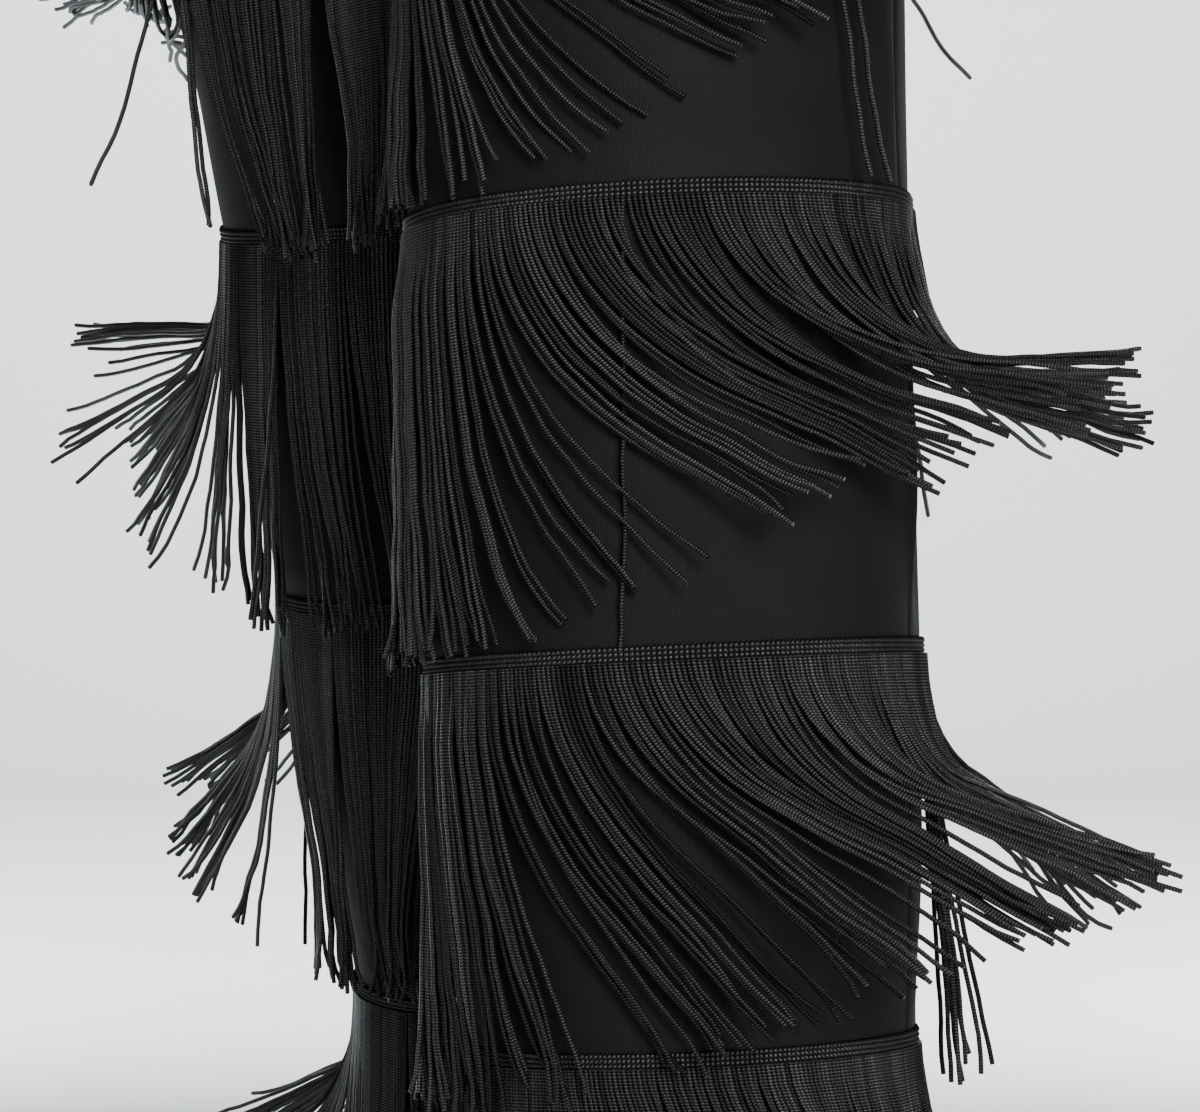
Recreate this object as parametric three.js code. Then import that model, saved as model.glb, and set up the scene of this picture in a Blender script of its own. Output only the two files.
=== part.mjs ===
// Latin dance trousers: wide pull-on trousers in stretch knit, worn in a stepping pose, with four
// tiers of cord fringe round each leg. Units are millimetres. The origin is the middle of the
// waist opening, +Z is up, the wearer's front faces -Y and the wearer's left side is +X.

import * as THREE from 'three';

// Driving sizes of the garment
const WAISTBAND_HEIGHT = 40;
const CROTCH_DROP = 280;
const LENGTH = 1030;
const CLOTH_THICKNESS = 1.6;
const BAND_THICKNESS = 2.4;
const SEAM_GAP = 0.3;

// Driving sizes of the fringe tiers. Along the stepping leg the worn cloth gathers above the
// knee, which carries its middle tapes higher.
const TIER_DROPS = { left: [334, 510, 686, 840], right: [334, 491, 658, 845] };
const TAPE_HEIGHT = 9.5;
const TAPE_CLEARANCE = 0.6;
const TAPE_THICKNESS = 1.4;
const CORD_LENGTH = 166;
const CORD_RADIUS = 1.35;
const CORD_SEGMENTS = 5;
const CORD_HANG = 3.9;
const ROOT_HALF_WIDTH = 1.3;
// Where in its column a cord leaves the tape, tier by tier, so that the tiers are staggered
const ROOT_SHARES = [0.35, 0.65, 0.35, 0.65];

// Columns of faces round one cut panel
const PANEL_COLUMNS = 14;
// Levels of a panel below the waistband, besides the edges of the tapes
const PANEL_LEVELS = [
  75, 110, 150, 190, 225, 255, 280, 305, 320, 368, 395, 450, 575, 630, 765, 910, 970,
];

// Cross-section of one leg at each drop below the waist, before the pose. Above the crotch a
// loop is cut off at the middle of the body, where the left and the right half are sewn.
const SECTION_COLUMNS = ['drop', 'centreX', 'centreY', 'outer', 'inner', 'front', 'back'];
const SECTIONS = [
  [0, 0, 0, 118, 118, 92, 92],
  [40, 0, 0, 123, 123, 95, 97],
  [90, 0, 2, 141, 141, 102, 112],
  [140, 8, 4, 150, 134, 107, 122],
  [190, 24, 5, 146, 120, 109, 126],
  [235, 55, 4, 122, 100, 107, 122],
  [280, 82, 2, 106, 82, 104, 113],
  [325, 88, 0, 105, 80, 103, 108],
  [400, 88, 0, 108, 85, 103, 106],
  [510, 88, 0, 104, 97, 100, 101],
  [686, 88, 0, 100, 98, 98, 99],
  [840, 88, 0, 91, 84, 86, 87],
  [1030, 88, 0, 84, 77, 80, 80],
];

// Pose of each leg from the hip: degrees back, degrees outward, and how far the cloth is
// carried back by the stepping leg
const HIP_DROP = 200;
const HIP_X = 88;
const POSES = {
  left: { sign: 1, back: -0.7, outward: 3.4, step: 0 },
  right: { sign: -1, back: 11.4, outward: -1.4, step: 77 },
};
const POSE_STARTS_OUTSIDE = 150;
const POSE_FULL = 440;
const POSE_BLEND_WIDTH = 90;

// Side seam, in degrees round from the front, at the waist and from the thigh down
const SIDE_SEAM_AT_WAIST = 90;
const SIDE_SEAM_ON_LEG = 100;
const SIDE_SEAM_SETTLES = 400;

// Large soft folds: leg, drop and turn of the middle, half height, half width in degrees,
// lean in degrees of turn per mm of drop, and height of the fold (a trough is negative)
const FOLDS = [
  { leg: 'left', drop: 560, turn: 96, tall: 110, wide: 17, lean: 0, height: 2.4 },
  { leg: 'left', drop: 420, turn: 72, tall: 90, wide: 20, lean: 0.03, height: -2.2 },
  { leg: 'left', drop: 310, turn: -30, tall: 60, wide: 30, lean: -0.25, height: -3.0 },
  { leg: 'left', drop: 330, turn: 190, tall: 60, wide: 42, lean: 0, height: -4.0 },
  { leg: 'left', drop: 620, turn: 200, tall: 60, wide: 36, lean: 0.1, height: -2.6 },
  { leg: 'left', drop: 900, turn: 150, tall: 90, wide: 24, lean: 0.05, height: 2.0 },
  { leg: 'right', drop: 350, turn: 10, tall: 80, wide: 34, lean: 0.2, height: -3.6 },
  { leg: 'right', drop: 320, turn: 175, tall: 60, wide: 40, lean: -0.1, height: 3.0 },
  { leg: 'right', drop: 590, turn: 80, tall: 100, wide: 20, lean: 0.03, height: 2.2 },
  { leg: 'right', drop: 640, turn: 190, tall: 70, wide: 38, lean: -0.08, height: -3.2 },
  { leg: 'right', drop: 930, turn: 30, tall: 80, wide: 26, lean: 0, height: -2.0 },
];

// How the cords swing, by where they are sewn on: tilt of the cord's end from the vertical,
// heading it tilts towards, the share of its length over which it bends, and how slowly that
// bend sets in. Angles in degrees. Where two rows share a turn the cords part.
const SWING_COLUMNS = ['turn', 'tilt', 'heading', 'bend', 'power'];
const SWINGS = {
  leftTop: [
    [-90, 0, 110, 1, 1], [-50, 0, 110, 1, 1], [-32, 12, 110, 1, 0.8], [-18, 42, 110, 1, 0.7],
    [-10, 66, 110, 0.95, 0.6], [2, 74, 112, 0.75, 0.5], [15, 82, 113, 0.6, 0.5],
    [28, 90, 116, 0.6, 0.5], [44, 98, 120, 0.55, 0.6], [61, 102, 124, 0.5, 0.8],
    [78, 106, 128, 0.45, 1], [98, 106, 134, 0.42, 1.2], [120, 102, 150, 0.42, 1.2],
    [130, 100, 160, 0.42, 1.2], [130, 2, 180, 1, 1], [150, 0, 180, 1, 1], [270, 0, 110, 1, 1],
  ],
  left: [
    [-90, 0, 110, 1, 1], [-50, 0, 110, 1, 1], [-32, 10, 110, 1, 0.8], [-18, 34, 110, 1, 0.7],
    [-10, 58, 110, 0.95, 0.6], [2, 63, 112, 0.75, 0.5], [15, 68, 113, 0.6, 0.5],
    [28, 76, 116, 0.66, 0.5], [44, 82, 122, 0.7, 0.55], [61, 86, 134, 0.72, 0.65],
    [78, 89, 146, 0.66, 0.85], [98, 90, 156, 0.52, 1.3], [120, 88, 165, 0.5, 1.3],
    [130, 84, 172, 0.5, 1.2], [130, 2, 180, 1, 1], [150, 0, 180, 1, 1], [270, 0, 110, 1, 1],
  ],
  rightTop: [
    [-90, 0, -95, 0.6, 1], [-40, 0, -95, 0.6, 1], [-15, 10, -95, 0.6, 0.8],
    [0, 20, -95, 0.6, 0.7], [22, 24, -95, 0.6, 0.7], [22, 60, 150, 0.9, 1],
    [33, 76, 150, 0.9, 1], [50, 86, 150, 0.8, 1], [65, 96, 150, 0.6, 1], [90, 100, 150, 0.5, 1],
    [110, 96, 155, 0.45, 1], [130, 70, 160, 0.6, 1], [150, 30, 170, 0.9, 1], [170, 8, 180, 1, 1],
    [190, 0, 180, 1, 1], [270, 0, 180, 1, 1],
  ],
  right: [
    [-90, 0, -95, 0.6, 1], [-40, 0, -95, 0.6, 1], [-15, 8, -95, 0.6, 1], [0, 14, -95, 0.6, 1],
    [17, 13, -95, 0.6, 1], [17, 28, 150, 0.9, 1], [26, 46, 134, 0.9, 1], [34, 62, 120, 0.8, 1.1],
    [44, 75, 112, 0.6, 1.1], [56, 86, 108, 0.45, 1.1], [75, 91, 106, 0.4, 1.1],
    [92, 93, 108, 0.4, 1.1], [110, 90, 112, 0.45, 1.1], [128, 64, 140, 0.6, 1.1],
    [145, 30, 160, 0.9, 1], [165, 8, 170, 1, 1], [190, 0, 180, 1, 1], [270, 0, 180, 1, 1],
  ],
};
// Table each tier swings by, from the top, with shares of its tilt and its bending length
const TIER_SWINGS = {
  left: ['leftTop', 'left', 'left', 'left'],
  right: ['rightTop', 'right', 'right', 'right'],
};
const TIER_TILTS = { left: [1, 1, 0.78, 0.85], right: [1, 1, 0.68, 0.8] };
const TIER_BENDS = { left: [1, 1, 0.66, 0.9], right: [1, 1, 1.1, 1] };

const PATH_STEPS = 40;
const UNBEND_ROUNDS = 8;
const FULL_TURN = 360;
const INSEAM = -90;

const radians = (degrees) => (degrees * Math.PI) / 180;
const clamp = (value, low, high) => Math.min(high, Math.max(low, value));
const mix = (a, b, share) => a + (b - a) * share;

// Smooth step from 0 to 1
function smooth(value) {
  const t = clamp(value, 0, 1);
  return t * t * (3 - 2 * t);
}

// Slope of a table's column at a row, for a smooth curve through the rows
function slopeAt(row, column) {
  const before = SECTIONS[Math.max(row - 1, 0)];
  const after = SECTIONS[Math.min(row + 1, SECTIONS.length - 1)];
  return (after[column] - before[column]) / (after[0] - before[0]);
}

// The leg's cross-section at a drop below the waist, by smooth interpolation of the table
function sectionAt(drop) {
  const last = SECTIONS.length - 1;
  const depth = clamp(drop, SECTIONS[0][0], SECTIONS[last][0]);
  let row = 0;
  while (row < last - 1 && SECTIONS[row + 1][0] <= depth) {
    row += 1;
  }
  const span = SECTIONS[row + 1][0] - SECTIONS[row][0];
  const t = (depth - SECTIONS[row][0]) / span;
  const section = {};
  SECTION_COLUMNS.forEach((name, column) => {
    const a = SECTIONS[row][column];
    const b = SECTIONS[row + 1][column];
    const slopeA = slopeAt(row, column) * span;
    const slopeB = slopeAt(row + 1, column) * span;
    section[name] = (2 * t ** 3 - 3 * t * t + 1) * a + (t ** 3 - 2 * t * t + t) * slopeA
      + (3 * t * t - 2 * t ** 3) * b + (t ** 3 - t * t) * slopeB;
  });
  return section;
}

// Share of the pose that a point of the unposed leg takes: none above the crotch seam
function poseShare(point) {
  const reach = smooth(Math.abs(point.x) / POSE_BLEND_WIDTH);
  const start = mix(CROTCH_DROP, POSE_STARTS_OUTSIDE, reach);
  return smooth((-point.z - start) / (POSE_FULL - start));
}

// Turns a point outward about the hip
function swingOutward(pose, point, angle) {
  const dx = point.x - pose.sign * HIP_X;
  const dz = point.z + HIP_DROP;
  const x = pose.sign * HIP_X + dx * Math.cos(angle) - dz * Math.sin(angle);
  const z = -HIP_DROP + dz * Math.cos(angle) + dx * Math.sin(angle);
  return new THREE.Vector3(x, point.y, z);
}

// Turns a point back about the hip
function swingBack(point, angle) {
  const dz = point.z + HIP_DROP;
  const y = point.y * Math.cos(angle) - dz * Math.sin(angle);
  const z = -HIP_DROP + dz * Math.cos(angle) + point.y * Math.sin(angle);
  return new THREE.Vector3(point.x, y, z);
}

// Takes a point of the unposed leg to the pose
function posed(pose, point) {
  const share = poseShare(point);
  const outward = radians(pose.outward) * share * pose.sign;
  const moved = swingBack(swingOutward(pose, point, outward), radians(pose.back) * share);
  moved.y += pose.step * share;
  return moved;
}

// Takes a posed point back to the unposed leg
function unposed(pose, point) {
  let guess = point.clone();
  for (let round = 0; round < UNBEND_ROUNDS; round += 1) {
    const share = poseShare(guess);
    const lifted = point.clone();
    lifted.y -= pose.step * share;
    const upright = swingBack(lifted, -radians(pose.back) * share);
    guess = swingOutward(pose, upright, -radians(pose.outward) * share * pose.sign);
  }
  return guess;
}

// Height of the folds at a place on the cloth, falling away smoothly to nothing
function foldHeight(leg, drop, turn) {
  let height = 0;
  for (const fold of FOLDS) {
    const across = turn - fold.turn - fold.lean * (drop - fold.drop);
    const down = Math.abs(drop - fold.drop) / fold.tall;
    if (fold.leg === leg && down < 1 && Math.abs(across) < fold.wide) {
      height += fold.height * smooth(1 - down) * smooth(1 - Math.abs(across) / fold.wide);
    }
  }
  return height;
}

// A point of the unposed leg: drop below the waist, turn round from the front over the outer
// side, and distance out from the cloth's outer face
function legPoint(leg, drop, turn, out) {
  const section = sectionAt(drop);
  const sine = Math.sin(radians(turn));
  const cosine = Math.cos(radians(turn));
  const width = sine > 0 ? section.outer : section.inner;
  const depth = cosine > 0 ? section.front : section.back;
  const normal = new THREE.Vector2(sine / width, -cosine / depth).normalize();
  const offset = out + foldHeight(leg, drop, turn);
  const x = section.centreX + width * sine + offset * normal.x;
  const y = section.centreY - depth * cosine + offset * normal.y;
  return new THREE.Vector3(POSES[leg].sign * x, y, -drop);
}

// A point of the posed cloth
function clothPoint(leg, drop, turn, out) {
  return posed(POSES[leg], legPoint(leg, drop, turn, out));
}

// Turn of the side seam at a drop
function sideSeam(drop) {
  return mix(SIDE_SEAM_AT_WAIST, SIDE_SEAM_ON_LEG, smooth(drop / SIDE_SEAM_SETTLES));
}

// Angle past the front, or short of the back, at which the panels end: the middle of the body
// above the crotch and the inseam below it
function innerTurn(drop) {
  if (drop >= CROTCH_DROP) {
    return -INSEAM;
  }
  const section = sectionAt(drop);
  const reach = (section.centreX - SEAM_GAP / 2) / section.inner;
  return (Math.asin(clamp(reach, -1, 1)) * 180) / Math.PI;
}

// Turns of a panel's columns at a drop
function panelTurns(half, drop) {
  const section = sectionAt(drop);
  const inset = ((SEAM_GAP / 2 / section.inner) * 180) / Math.PI;
  const side = sideSeam(drop);
  const from = half === 'front' ? -innerTurn(drop) + inset : side + inset;
  const to = half === 'front' ? side - inset : 180 + innerTurn(drop) - inset;
  const turns = [];
  for (let column = 0; column <= PANEL_COLUMNS; column += 1) {
    turns.push(mix(from, to, column / PANEL_COLUMNS));
  }
  return turns;
}

// Collects triangles and builds one mesh from them
class Shell {
  constructor() {
    this.points = [];
    this.faces = [];
  }

  add(point) {
    this.points.push(point);
    return this.points.length - 1;
  }

  triangle(a, b, c) {
    this.faces.push(a, b, c);
  }

  quad(a, b, c, d) {
    this.triangle(a, b, c);
    this.triangle(a, c, d);
  }

  // Volume enclosed, positive when the faces look outward
  volume() {
    let total = 0;
    for (let i = 0; i < this.faces.length; i += 3) {
      const [a, b, c] = [0, 1, 2].map((k) => this.points[this.faces[i + k]]);
      total += a.dot(new THREE.Vector3().crossVectors(b, c)) / 6;
    }
    return total;
  }

  mesh(name, colour) {
    if (this.volume() < 0) {
      for (let i = 0; i < this.faces.length; i += 3) {
        [this.faces[i], this.faces[i + 1]] = [this.faces[i + 1], this.faces[i]];
      }
    }
    const geometry = new THREE.BufferGeometry();
    const flat = this.points.flatMap((point) => [point.x, point.y, point.z]);
    geometry.setAttribute('position', new THREE.Float32BufferAttribute(flat, 3));
    geometry.setIndex(this.faces);
    geometry.computeVertexNormals();
    const material = new THREE.MeshStandardMaterial({ color: colour, roughness: 0.9 });
    const mesh = new THREE.Mesh(geometry, material);
    mesh.name = name;
    return mesh;
  }
}

// A wall between an outer and an inner grid of points with the same rows and columns
function wall(name, colour, outer, inner) {
  const shell = new Shell();
  const ids = [outer, inner].map((grid) => grid.map((row) => row.map((p) => shell.add(p))));
  const rows = outer.length - 1;
  const columns = outer[0].length - 1;
  const [o, i] = ids;
  for (let r = 0; r < rows; r += 1) {
    for (let c = 0; c < columns; c += 1) {
      shell.quad(o[r][c], o[r + 1][c], o[r + 1][c + 1], o[r][c + 1]);
      shell.quad(i[r][c], i[r][c + 1], i[r + 1][c + 1], i[r + 1][c]);
    }
    shell.quad(o[r][0], i[r][0], i[r + 1][0], o[r + 1][0]);
    shell.quad(o[r][columns], o[r + 1][columns], i[r + 1][columns], i[r][columns]);
  }
  for (let c = 0; c < columns; c += 1) {
    shell.quad(o[0][c], o[0][c + 1], i[0][c + 1], i[0][c]);
    shell.quad(o[rows][c], i[rows][c], i[rows][c + 1], o[rows][c + 1]);
  }
  return shell.mesh(name, colour);
}

// One cut panel of the trousers, from the waistband to the hem
function panel(leg, half) {
  const tapes = TIER_DROPS[leg].flatMap((drop) => [drop, drop + TAPE_HEIGHT]);
  const top = WAISTBAND_HEIGHT + SEAM_GAP / 2;
  const drops = [top, ...PANEL_LEVELS, ...tapes, LENGTH].sort((a, b) => a - b);
  const grid = (out) => drops.map((drop) => panelTurns(half, drop)
    .map((turn) => clothPoint(leg, drop, turn, out)));
  return wall(`${leg}_${half}`, 0x202022, grid(0), grid(-CLOTH_THICKNESS));
}

// Half of the waistband, from side seam to side seam
function waistband(half) {
  const drops = [0, WAISTBAND_HEIGHT / 2, WAISTBAND_HEIGHT - SEAM_GAP / 2];
  const columns = 2 * PANEL_COLUMNS;
  const grid = (out) => drops.map((drop) => {
    const section = sectionAt(drop);
    const reach = 90 - ((SEAM_GAP / 2 / section.outer) * 180) / Math.PI;
    const row = [];
    for (let column = 0; column <= columns; column += 1) {
      const across = mix(-reach, reach, column / columns);
      const leg = across < 0 ? 'right' : 'left';
      const turn = half === 'front' ? Math.abs(across) : 180 - Math.abs(across);
      row.push(clothPoint(leg, drop, turn, out));
    }
    return row;
  });
  return wall(`waistband_${half}`, 0x1c1c1e, grid(0), grid(-BAND_THICKNESS));
}

// A point moved out of one leg's cloth, to a distance from it, where it is nearer than that
function pushedOut(leg, point, distance) {
  const pose = POSES[leg];
  const upright = unposed(pose, point);
  const section = sectionAt(-upright.z);
  const dx = pose.sign * upright.x - section.centreX;
  const dy = upright.y - section.centreY;
  const width = (dx > 0 ? section.outer : section.inner) + distance;
  const depth = (dy < 0 ? section.front : section.back) + distance;
  const reach = Math.hypot(dx / width, dy / depth);
  if (reach >= 1) {
    return point;
  }
  const grow = 1 / Math.max(reach, 0.2);
  const x = pose.sign * (section.centreX + dx * grow);
  return posed(pose, new THREE.Vector3(x, section.centreY + dy * grow, upright.z));
}

// A named column of a table, read at a turn
function readTable(table, names, name, turn) {
  const column = names.indexOf(name);
  let row = 0;
  while (row < table.length - 2 && table[row + 1][0] < turn) {
    row += 1;
  }
  const share = clamp((turn - table[row][0]) / (table[row + 1][0] - table[row][0]), 0, 1);
  return mix(table[row][column], table[row + 1][column], share);
}

// Points along one cord, from the tape to its end
function cordPath(leg, tier, turn, start) {
  const table = SWINGS[TIER_SWINGS[leg][tier]];
  const swing = (name) => readTable(table, SWING_COLUMNS, name, turn);
  const tilt = radians(swing('tilt') * TIER_TILTS[leg][tier]);
  const heading = radians(swing('heading'));
  const bend = clamp(swing('bend') * TIER_BENDS[leg][tier], 0.2, 1);
  const power = swing('power');
  const step = CORD_LENGTH / PATH_STEPS;
  const path = [start];
  for (let i = 0; i < PATH_STEPS; i += 1) {
    const along = (i + 0.5) / PATH_STEPS;
    const angle = tilt * Math.min(1, along / bend) ** power;
    const sideways = Math.sin(angle);
    const direction = new THREE.Vector3(
      POSES[leg].sign * Math.sin(heading) * sideways,
      -Math.cos(heading) * sideways,
      -Math.cos(angle),
    );
    const from = path[path.length - 1];
    const clear = mix(TAPE_CLEARANCE + TAPE_THICKNESS / 2, CORD_HANG, smooth(along * CORD_SEGMENTS));
    const target = pushedOut(leg, from.clone().addScaledVector(direction, step), clear);
    const move = target.sub(from);
    path.push(from.clone().add(move.setLength(step)));
  }
  return path;
}

// One tier of fringe round a leg: a tape with a row of cords growing out of its lower edge
function fringe(leg, tier) {
  const shell = new Shell();
  const top = TIER_DROPS[leg][tier];
  const bottom = top + TAPE_HEIGHT;
  const side = sideSeam(top);
  const turns = [];
  for (let column = 0; column < PANEL_COLUMNS; column += 1) {
    turns.push(mix(INSEAM, side, column / PANEL_COLUMNS));
  }
  for (let column = 0; column < PANEL_COLUMNS; column += 1) {
    turns.push(mix(side, INSEAM + FULL_TURN, column / PANEL_COLUMNS));
  }
  const far = TAPE_CLEARANCE + TAPE_THICKNESS;
  const ring = (drop, out) => turns.map((turn) => shell.add(clothPoint(leg, drop, turn, out)));
  const topOuter = ring(top, far);
  const topInner = ring(top, TAPE_CLEARANCE);
  const lowOuter = ring(bottom, far);
  const lowInner = ring(bottom, TAPE_CLEARANCE);
  const count = turns.length;
  for (let k = 0; k < count; k += 1) {
    const next = (k + 1) % count;
    const nextTurn = next === 0 ? turns[0] + FULL_TURN : turns[next];
    const share = ROOT_SHARES[tier];
    const between = (ids, at) => shell.points[ids[k]].clone().lerp(shell.points[ids[next]], at);
    const width = shell.points[lowOuter[k]].distanceTo(shell.points[lowOuter[next]]);
    const a = shell.add(between(lowOuter, share - ROOT_HALF_WIDTH / width));
    const b = shell.add(between(lowOuter, share + ROOT_HALF_WIDTH / width));
    const m = shell.add(between(lowInner, share));
    // Outer, inner and top face of the tape
    shell.triangle(topOuter[k], lowOuter[k], a);
    shell.triangle(topOuter[k], a, b);
    shell.triangle(topOuter[k], b, topOuter[next]);
    shell.triangle(topOuter[next], b, lowOuter[next]);
    shell.triangle(topInner[k], m, lowInner[k]);
    shell.triangle(topInner[k], topInner[next], m);
    shell.triangle(topInner[next], lowInner[next], m);
    shell.quad(topOuter[k], topOuter[next], topInner[next], topInner[k]);
    // Lower face either side of the cord's root
    shell.quad(lowOuter[k], lowInner[k], m, a);
    shell.quad(lowOuter[next], b, m, lowInner[next]);
    addCord(shell, leg, tier, mix(turns[k], nextTurn, share), [a, b, m]);
  }
  return shell.mesh(`${leg}_fringe_${tier + 1}`, 0x17171a);
}

// Grows a cord of three sides from the three corners of its root
function addCord(shell, leg, tier, turn, root) {
  const corners = root.map((id) => shell.points[id]);
  const start = corners[0].clone().add(corners[1]).add(corners[2]).divideScalar(3);
  const path = cordPath(leg, tier, turn, start);
  let outward = corners[0].clone().add(corners[1]).divideScalar(2).sub(corners[2]).normalize();
  let ring = root;
  for (let segment = 1; segment <= CORD_SEGMENTS; segment += 1) {
    const at = Math.round((segment * PATH_STEPS) / CORD_SEGMENTS);
    const before = path[Math.max(at - 4, 0)];
    const after = path[Math.min(at + 4, PATH_STEPS)];
    const along = after.clone().sub(before).normalize();
    outward = outward.clone().addScaledVector(along, -outward.dot(along)).normalize();
    const across = new THREE.Vector3().crossVectors(along, outward);
    const placed = [[0.5, 0.866], [0.5, -0.866], [-1, 0]].map(([out, aside]) => path[at].clone()
      .addScaledVector(outward, out * CORD_RADIUS)
      .addScaledVector(across, aside * CORD_RADIUS));
    const rootAside = corners[0].clone().sub(corners[1]).dot(across);
    const order = rootAside > 0 ? [0, 1, 2] : [1, 0, 2];
    const next = order.map((index) => shell.add(placed[index]));
    for (let side = 0; side < 3; side += 1) {
      const other = (side + 1) % 3;
      shell.quad(ring[side], next[side], next[other], ring[other]);
    }
    ring = next;
  }
  shell.triangle(ring[0], ring[2], ring[1]);
}

const trousers = new THREE.Group();
trousers.name = 'latin_dance_trousers';
trousers.add(waistband('front'));
trousers.add(waistband('back'));
for (const leg of ['left', 'right']) {
  trousers.add(panel(leg, 'front'));
  trousers.add(panel(leg, 'back'));
}
for (const leg of ['left', 'right']) {
  TIER_DROPS[leg].forEach((drop, tier) => trousers.add(fringe(leg, tier)));
}

export default trousers;
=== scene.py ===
"""Latin dance trousers with tiers of cord fringe, dressed over the solids of the part.

The frame is the part's own, in metres: the origin is the middle of the waist opening, +Z is up,
the wearer's front faces -Y and the wearer's left side is +X. Tables give millimetres and degrees.
"""

import math

import bpy
import numpy as np
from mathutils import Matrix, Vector


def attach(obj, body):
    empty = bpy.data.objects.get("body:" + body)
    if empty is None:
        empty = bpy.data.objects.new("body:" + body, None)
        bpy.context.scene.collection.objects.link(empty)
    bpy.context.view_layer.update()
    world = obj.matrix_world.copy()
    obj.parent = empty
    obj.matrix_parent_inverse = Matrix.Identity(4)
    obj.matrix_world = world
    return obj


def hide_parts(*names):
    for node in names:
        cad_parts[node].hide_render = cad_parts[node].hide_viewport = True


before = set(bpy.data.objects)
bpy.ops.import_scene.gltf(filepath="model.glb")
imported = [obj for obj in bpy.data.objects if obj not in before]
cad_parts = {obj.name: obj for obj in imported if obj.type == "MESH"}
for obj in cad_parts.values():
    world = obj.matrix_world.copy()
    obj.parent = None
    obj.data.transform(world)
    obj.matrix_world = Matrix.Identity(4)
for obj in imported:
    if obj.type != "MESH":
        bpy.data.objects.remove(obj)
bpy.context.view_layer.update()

bl_info = {
    "name": "Fringed dance trousers",
    "version": (1, 0, 0),
    "blender": (4, 5, 0),
    "location": "3D View > Sidebar > Trousers",
    "description": "Makes wide stretch trousers with tiers of cord fringe",
    "category": "Add Mesh",
}

MM = 0.001

# Sizes of the garment, as in the solids
WAISTBAND_HEIGHT = 40.0
CROTCH_DROP = 280.0
LENGTH = 1030.0
SEAM_GAP = 0.3
TIER_DROPS = {
    "left": (334.0, 510.0, 686.0, 840.0),
    "right": (334.0, 491.0, 658.0, 845.0),
}
TAPE_HEIGHT = 9.5

# Beads of a tape, which the solids leave plain: rows, how far the knit and its back stand off the
# cloth, how far rows and columns rise, how columns stagger, and the loops along the upper edge
BEAD_ROWS = 5
KNIT_OUT, KNIT_BACK = 0.95, 0.4
BEAD_RISE, COLUMN_RISE = 0.7, 0.42
COLUMN_STAGGER = 0.16
EDGE_LOOP = 0.5

# Cross-section of one leg at each drop below the waist, before the pose
SECTION_NAMES = ("drop", "centre_x", "centre_y", "outer", "inner", "front", "back")
SECTIONS = np.array((
    (0, 0, 0, 118, 118, 92, 92),
    (40, 0, 0, 123, 123, 95, 97),
    (90, 0, 2, 141, 141, 102, 112),
    (140, 8, 4, 150, 134, 107, 122),
    (190, 24, 5, 146, 120, 109, 126),
    (235, 55, 4, 122, 100, 107, 122),
    (280, 82, 2, 106, 82, 104, 113),
    (325, 88, 0, 105, 80, 103, 108),
    (400, 88, 0, 108, 85, 103, 106),
    (510, 88, 0, 104, 97, 100, 101),
    (686, 88, 0, 100, 98, 98, 99),
    (840, 88, 0, 91, 84, 86, 87),
    (1030, 88, 0, 84, 77, 80, 80),
), float)

# Pose of each leg from the hip
HIP_DROP = 200.0
HIP_X = 88.0
POSES = {
    "left": {"sign": 1.0, "back": -0.7, "outward": 3.4, "step": 0.0},
    "right": {"sign": -1.0, "back": 11.4, "outward": -1.4, "step": 77.0},
}
POSE_STARTS_OUTSIDE = 150.0
POSE_FULL = 440.0
POSE_BLEND_WIDTH = 90.0

SIDE_SEAM_AT_WAIST = 90.0
SIDE_SEAM_ON_LEG = 100.0
SIDE_SEAM_SETTLES = 400.0

# Soft folds: the large ones of the solids, then the small ones placed after the photo
# or to match it on the hidden sides. Lean is in degrees of turn per millimetre of drop.
FOLD_NAMES = ("leg", "drop", "turn", "tall", "wide", "lean", "height")
LARGE_FOLDS = (
    ("left", 560, 96, 110, 17, 0, 2.4),
    ("left", 420, 72, 90, 20, 0.03, -2.2),
    ("left", 310, -30, 60, 30, -0.25, -3.0),
    ("left", 330, 190, 60, 42, 0, -4.0),
    ("left", 620, 200, 60, 36, 0.1, -2.6),
    ("left", 900, 150, 90, 24, 0.05, 2.0),
    ("right", 350, 10, 80, 34, 0.2, -3.6),
    ("right", 320, 175, 60, 40, -0.1, 3.0),
    ("right", 590, 80, 100, 20, 0.03, 2.2),
    ("right", 640, 190, 70, 38, -0.08, -3.2),
    ("right", 930, 30, 80, 26, 0, -2.0),
)
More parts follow.
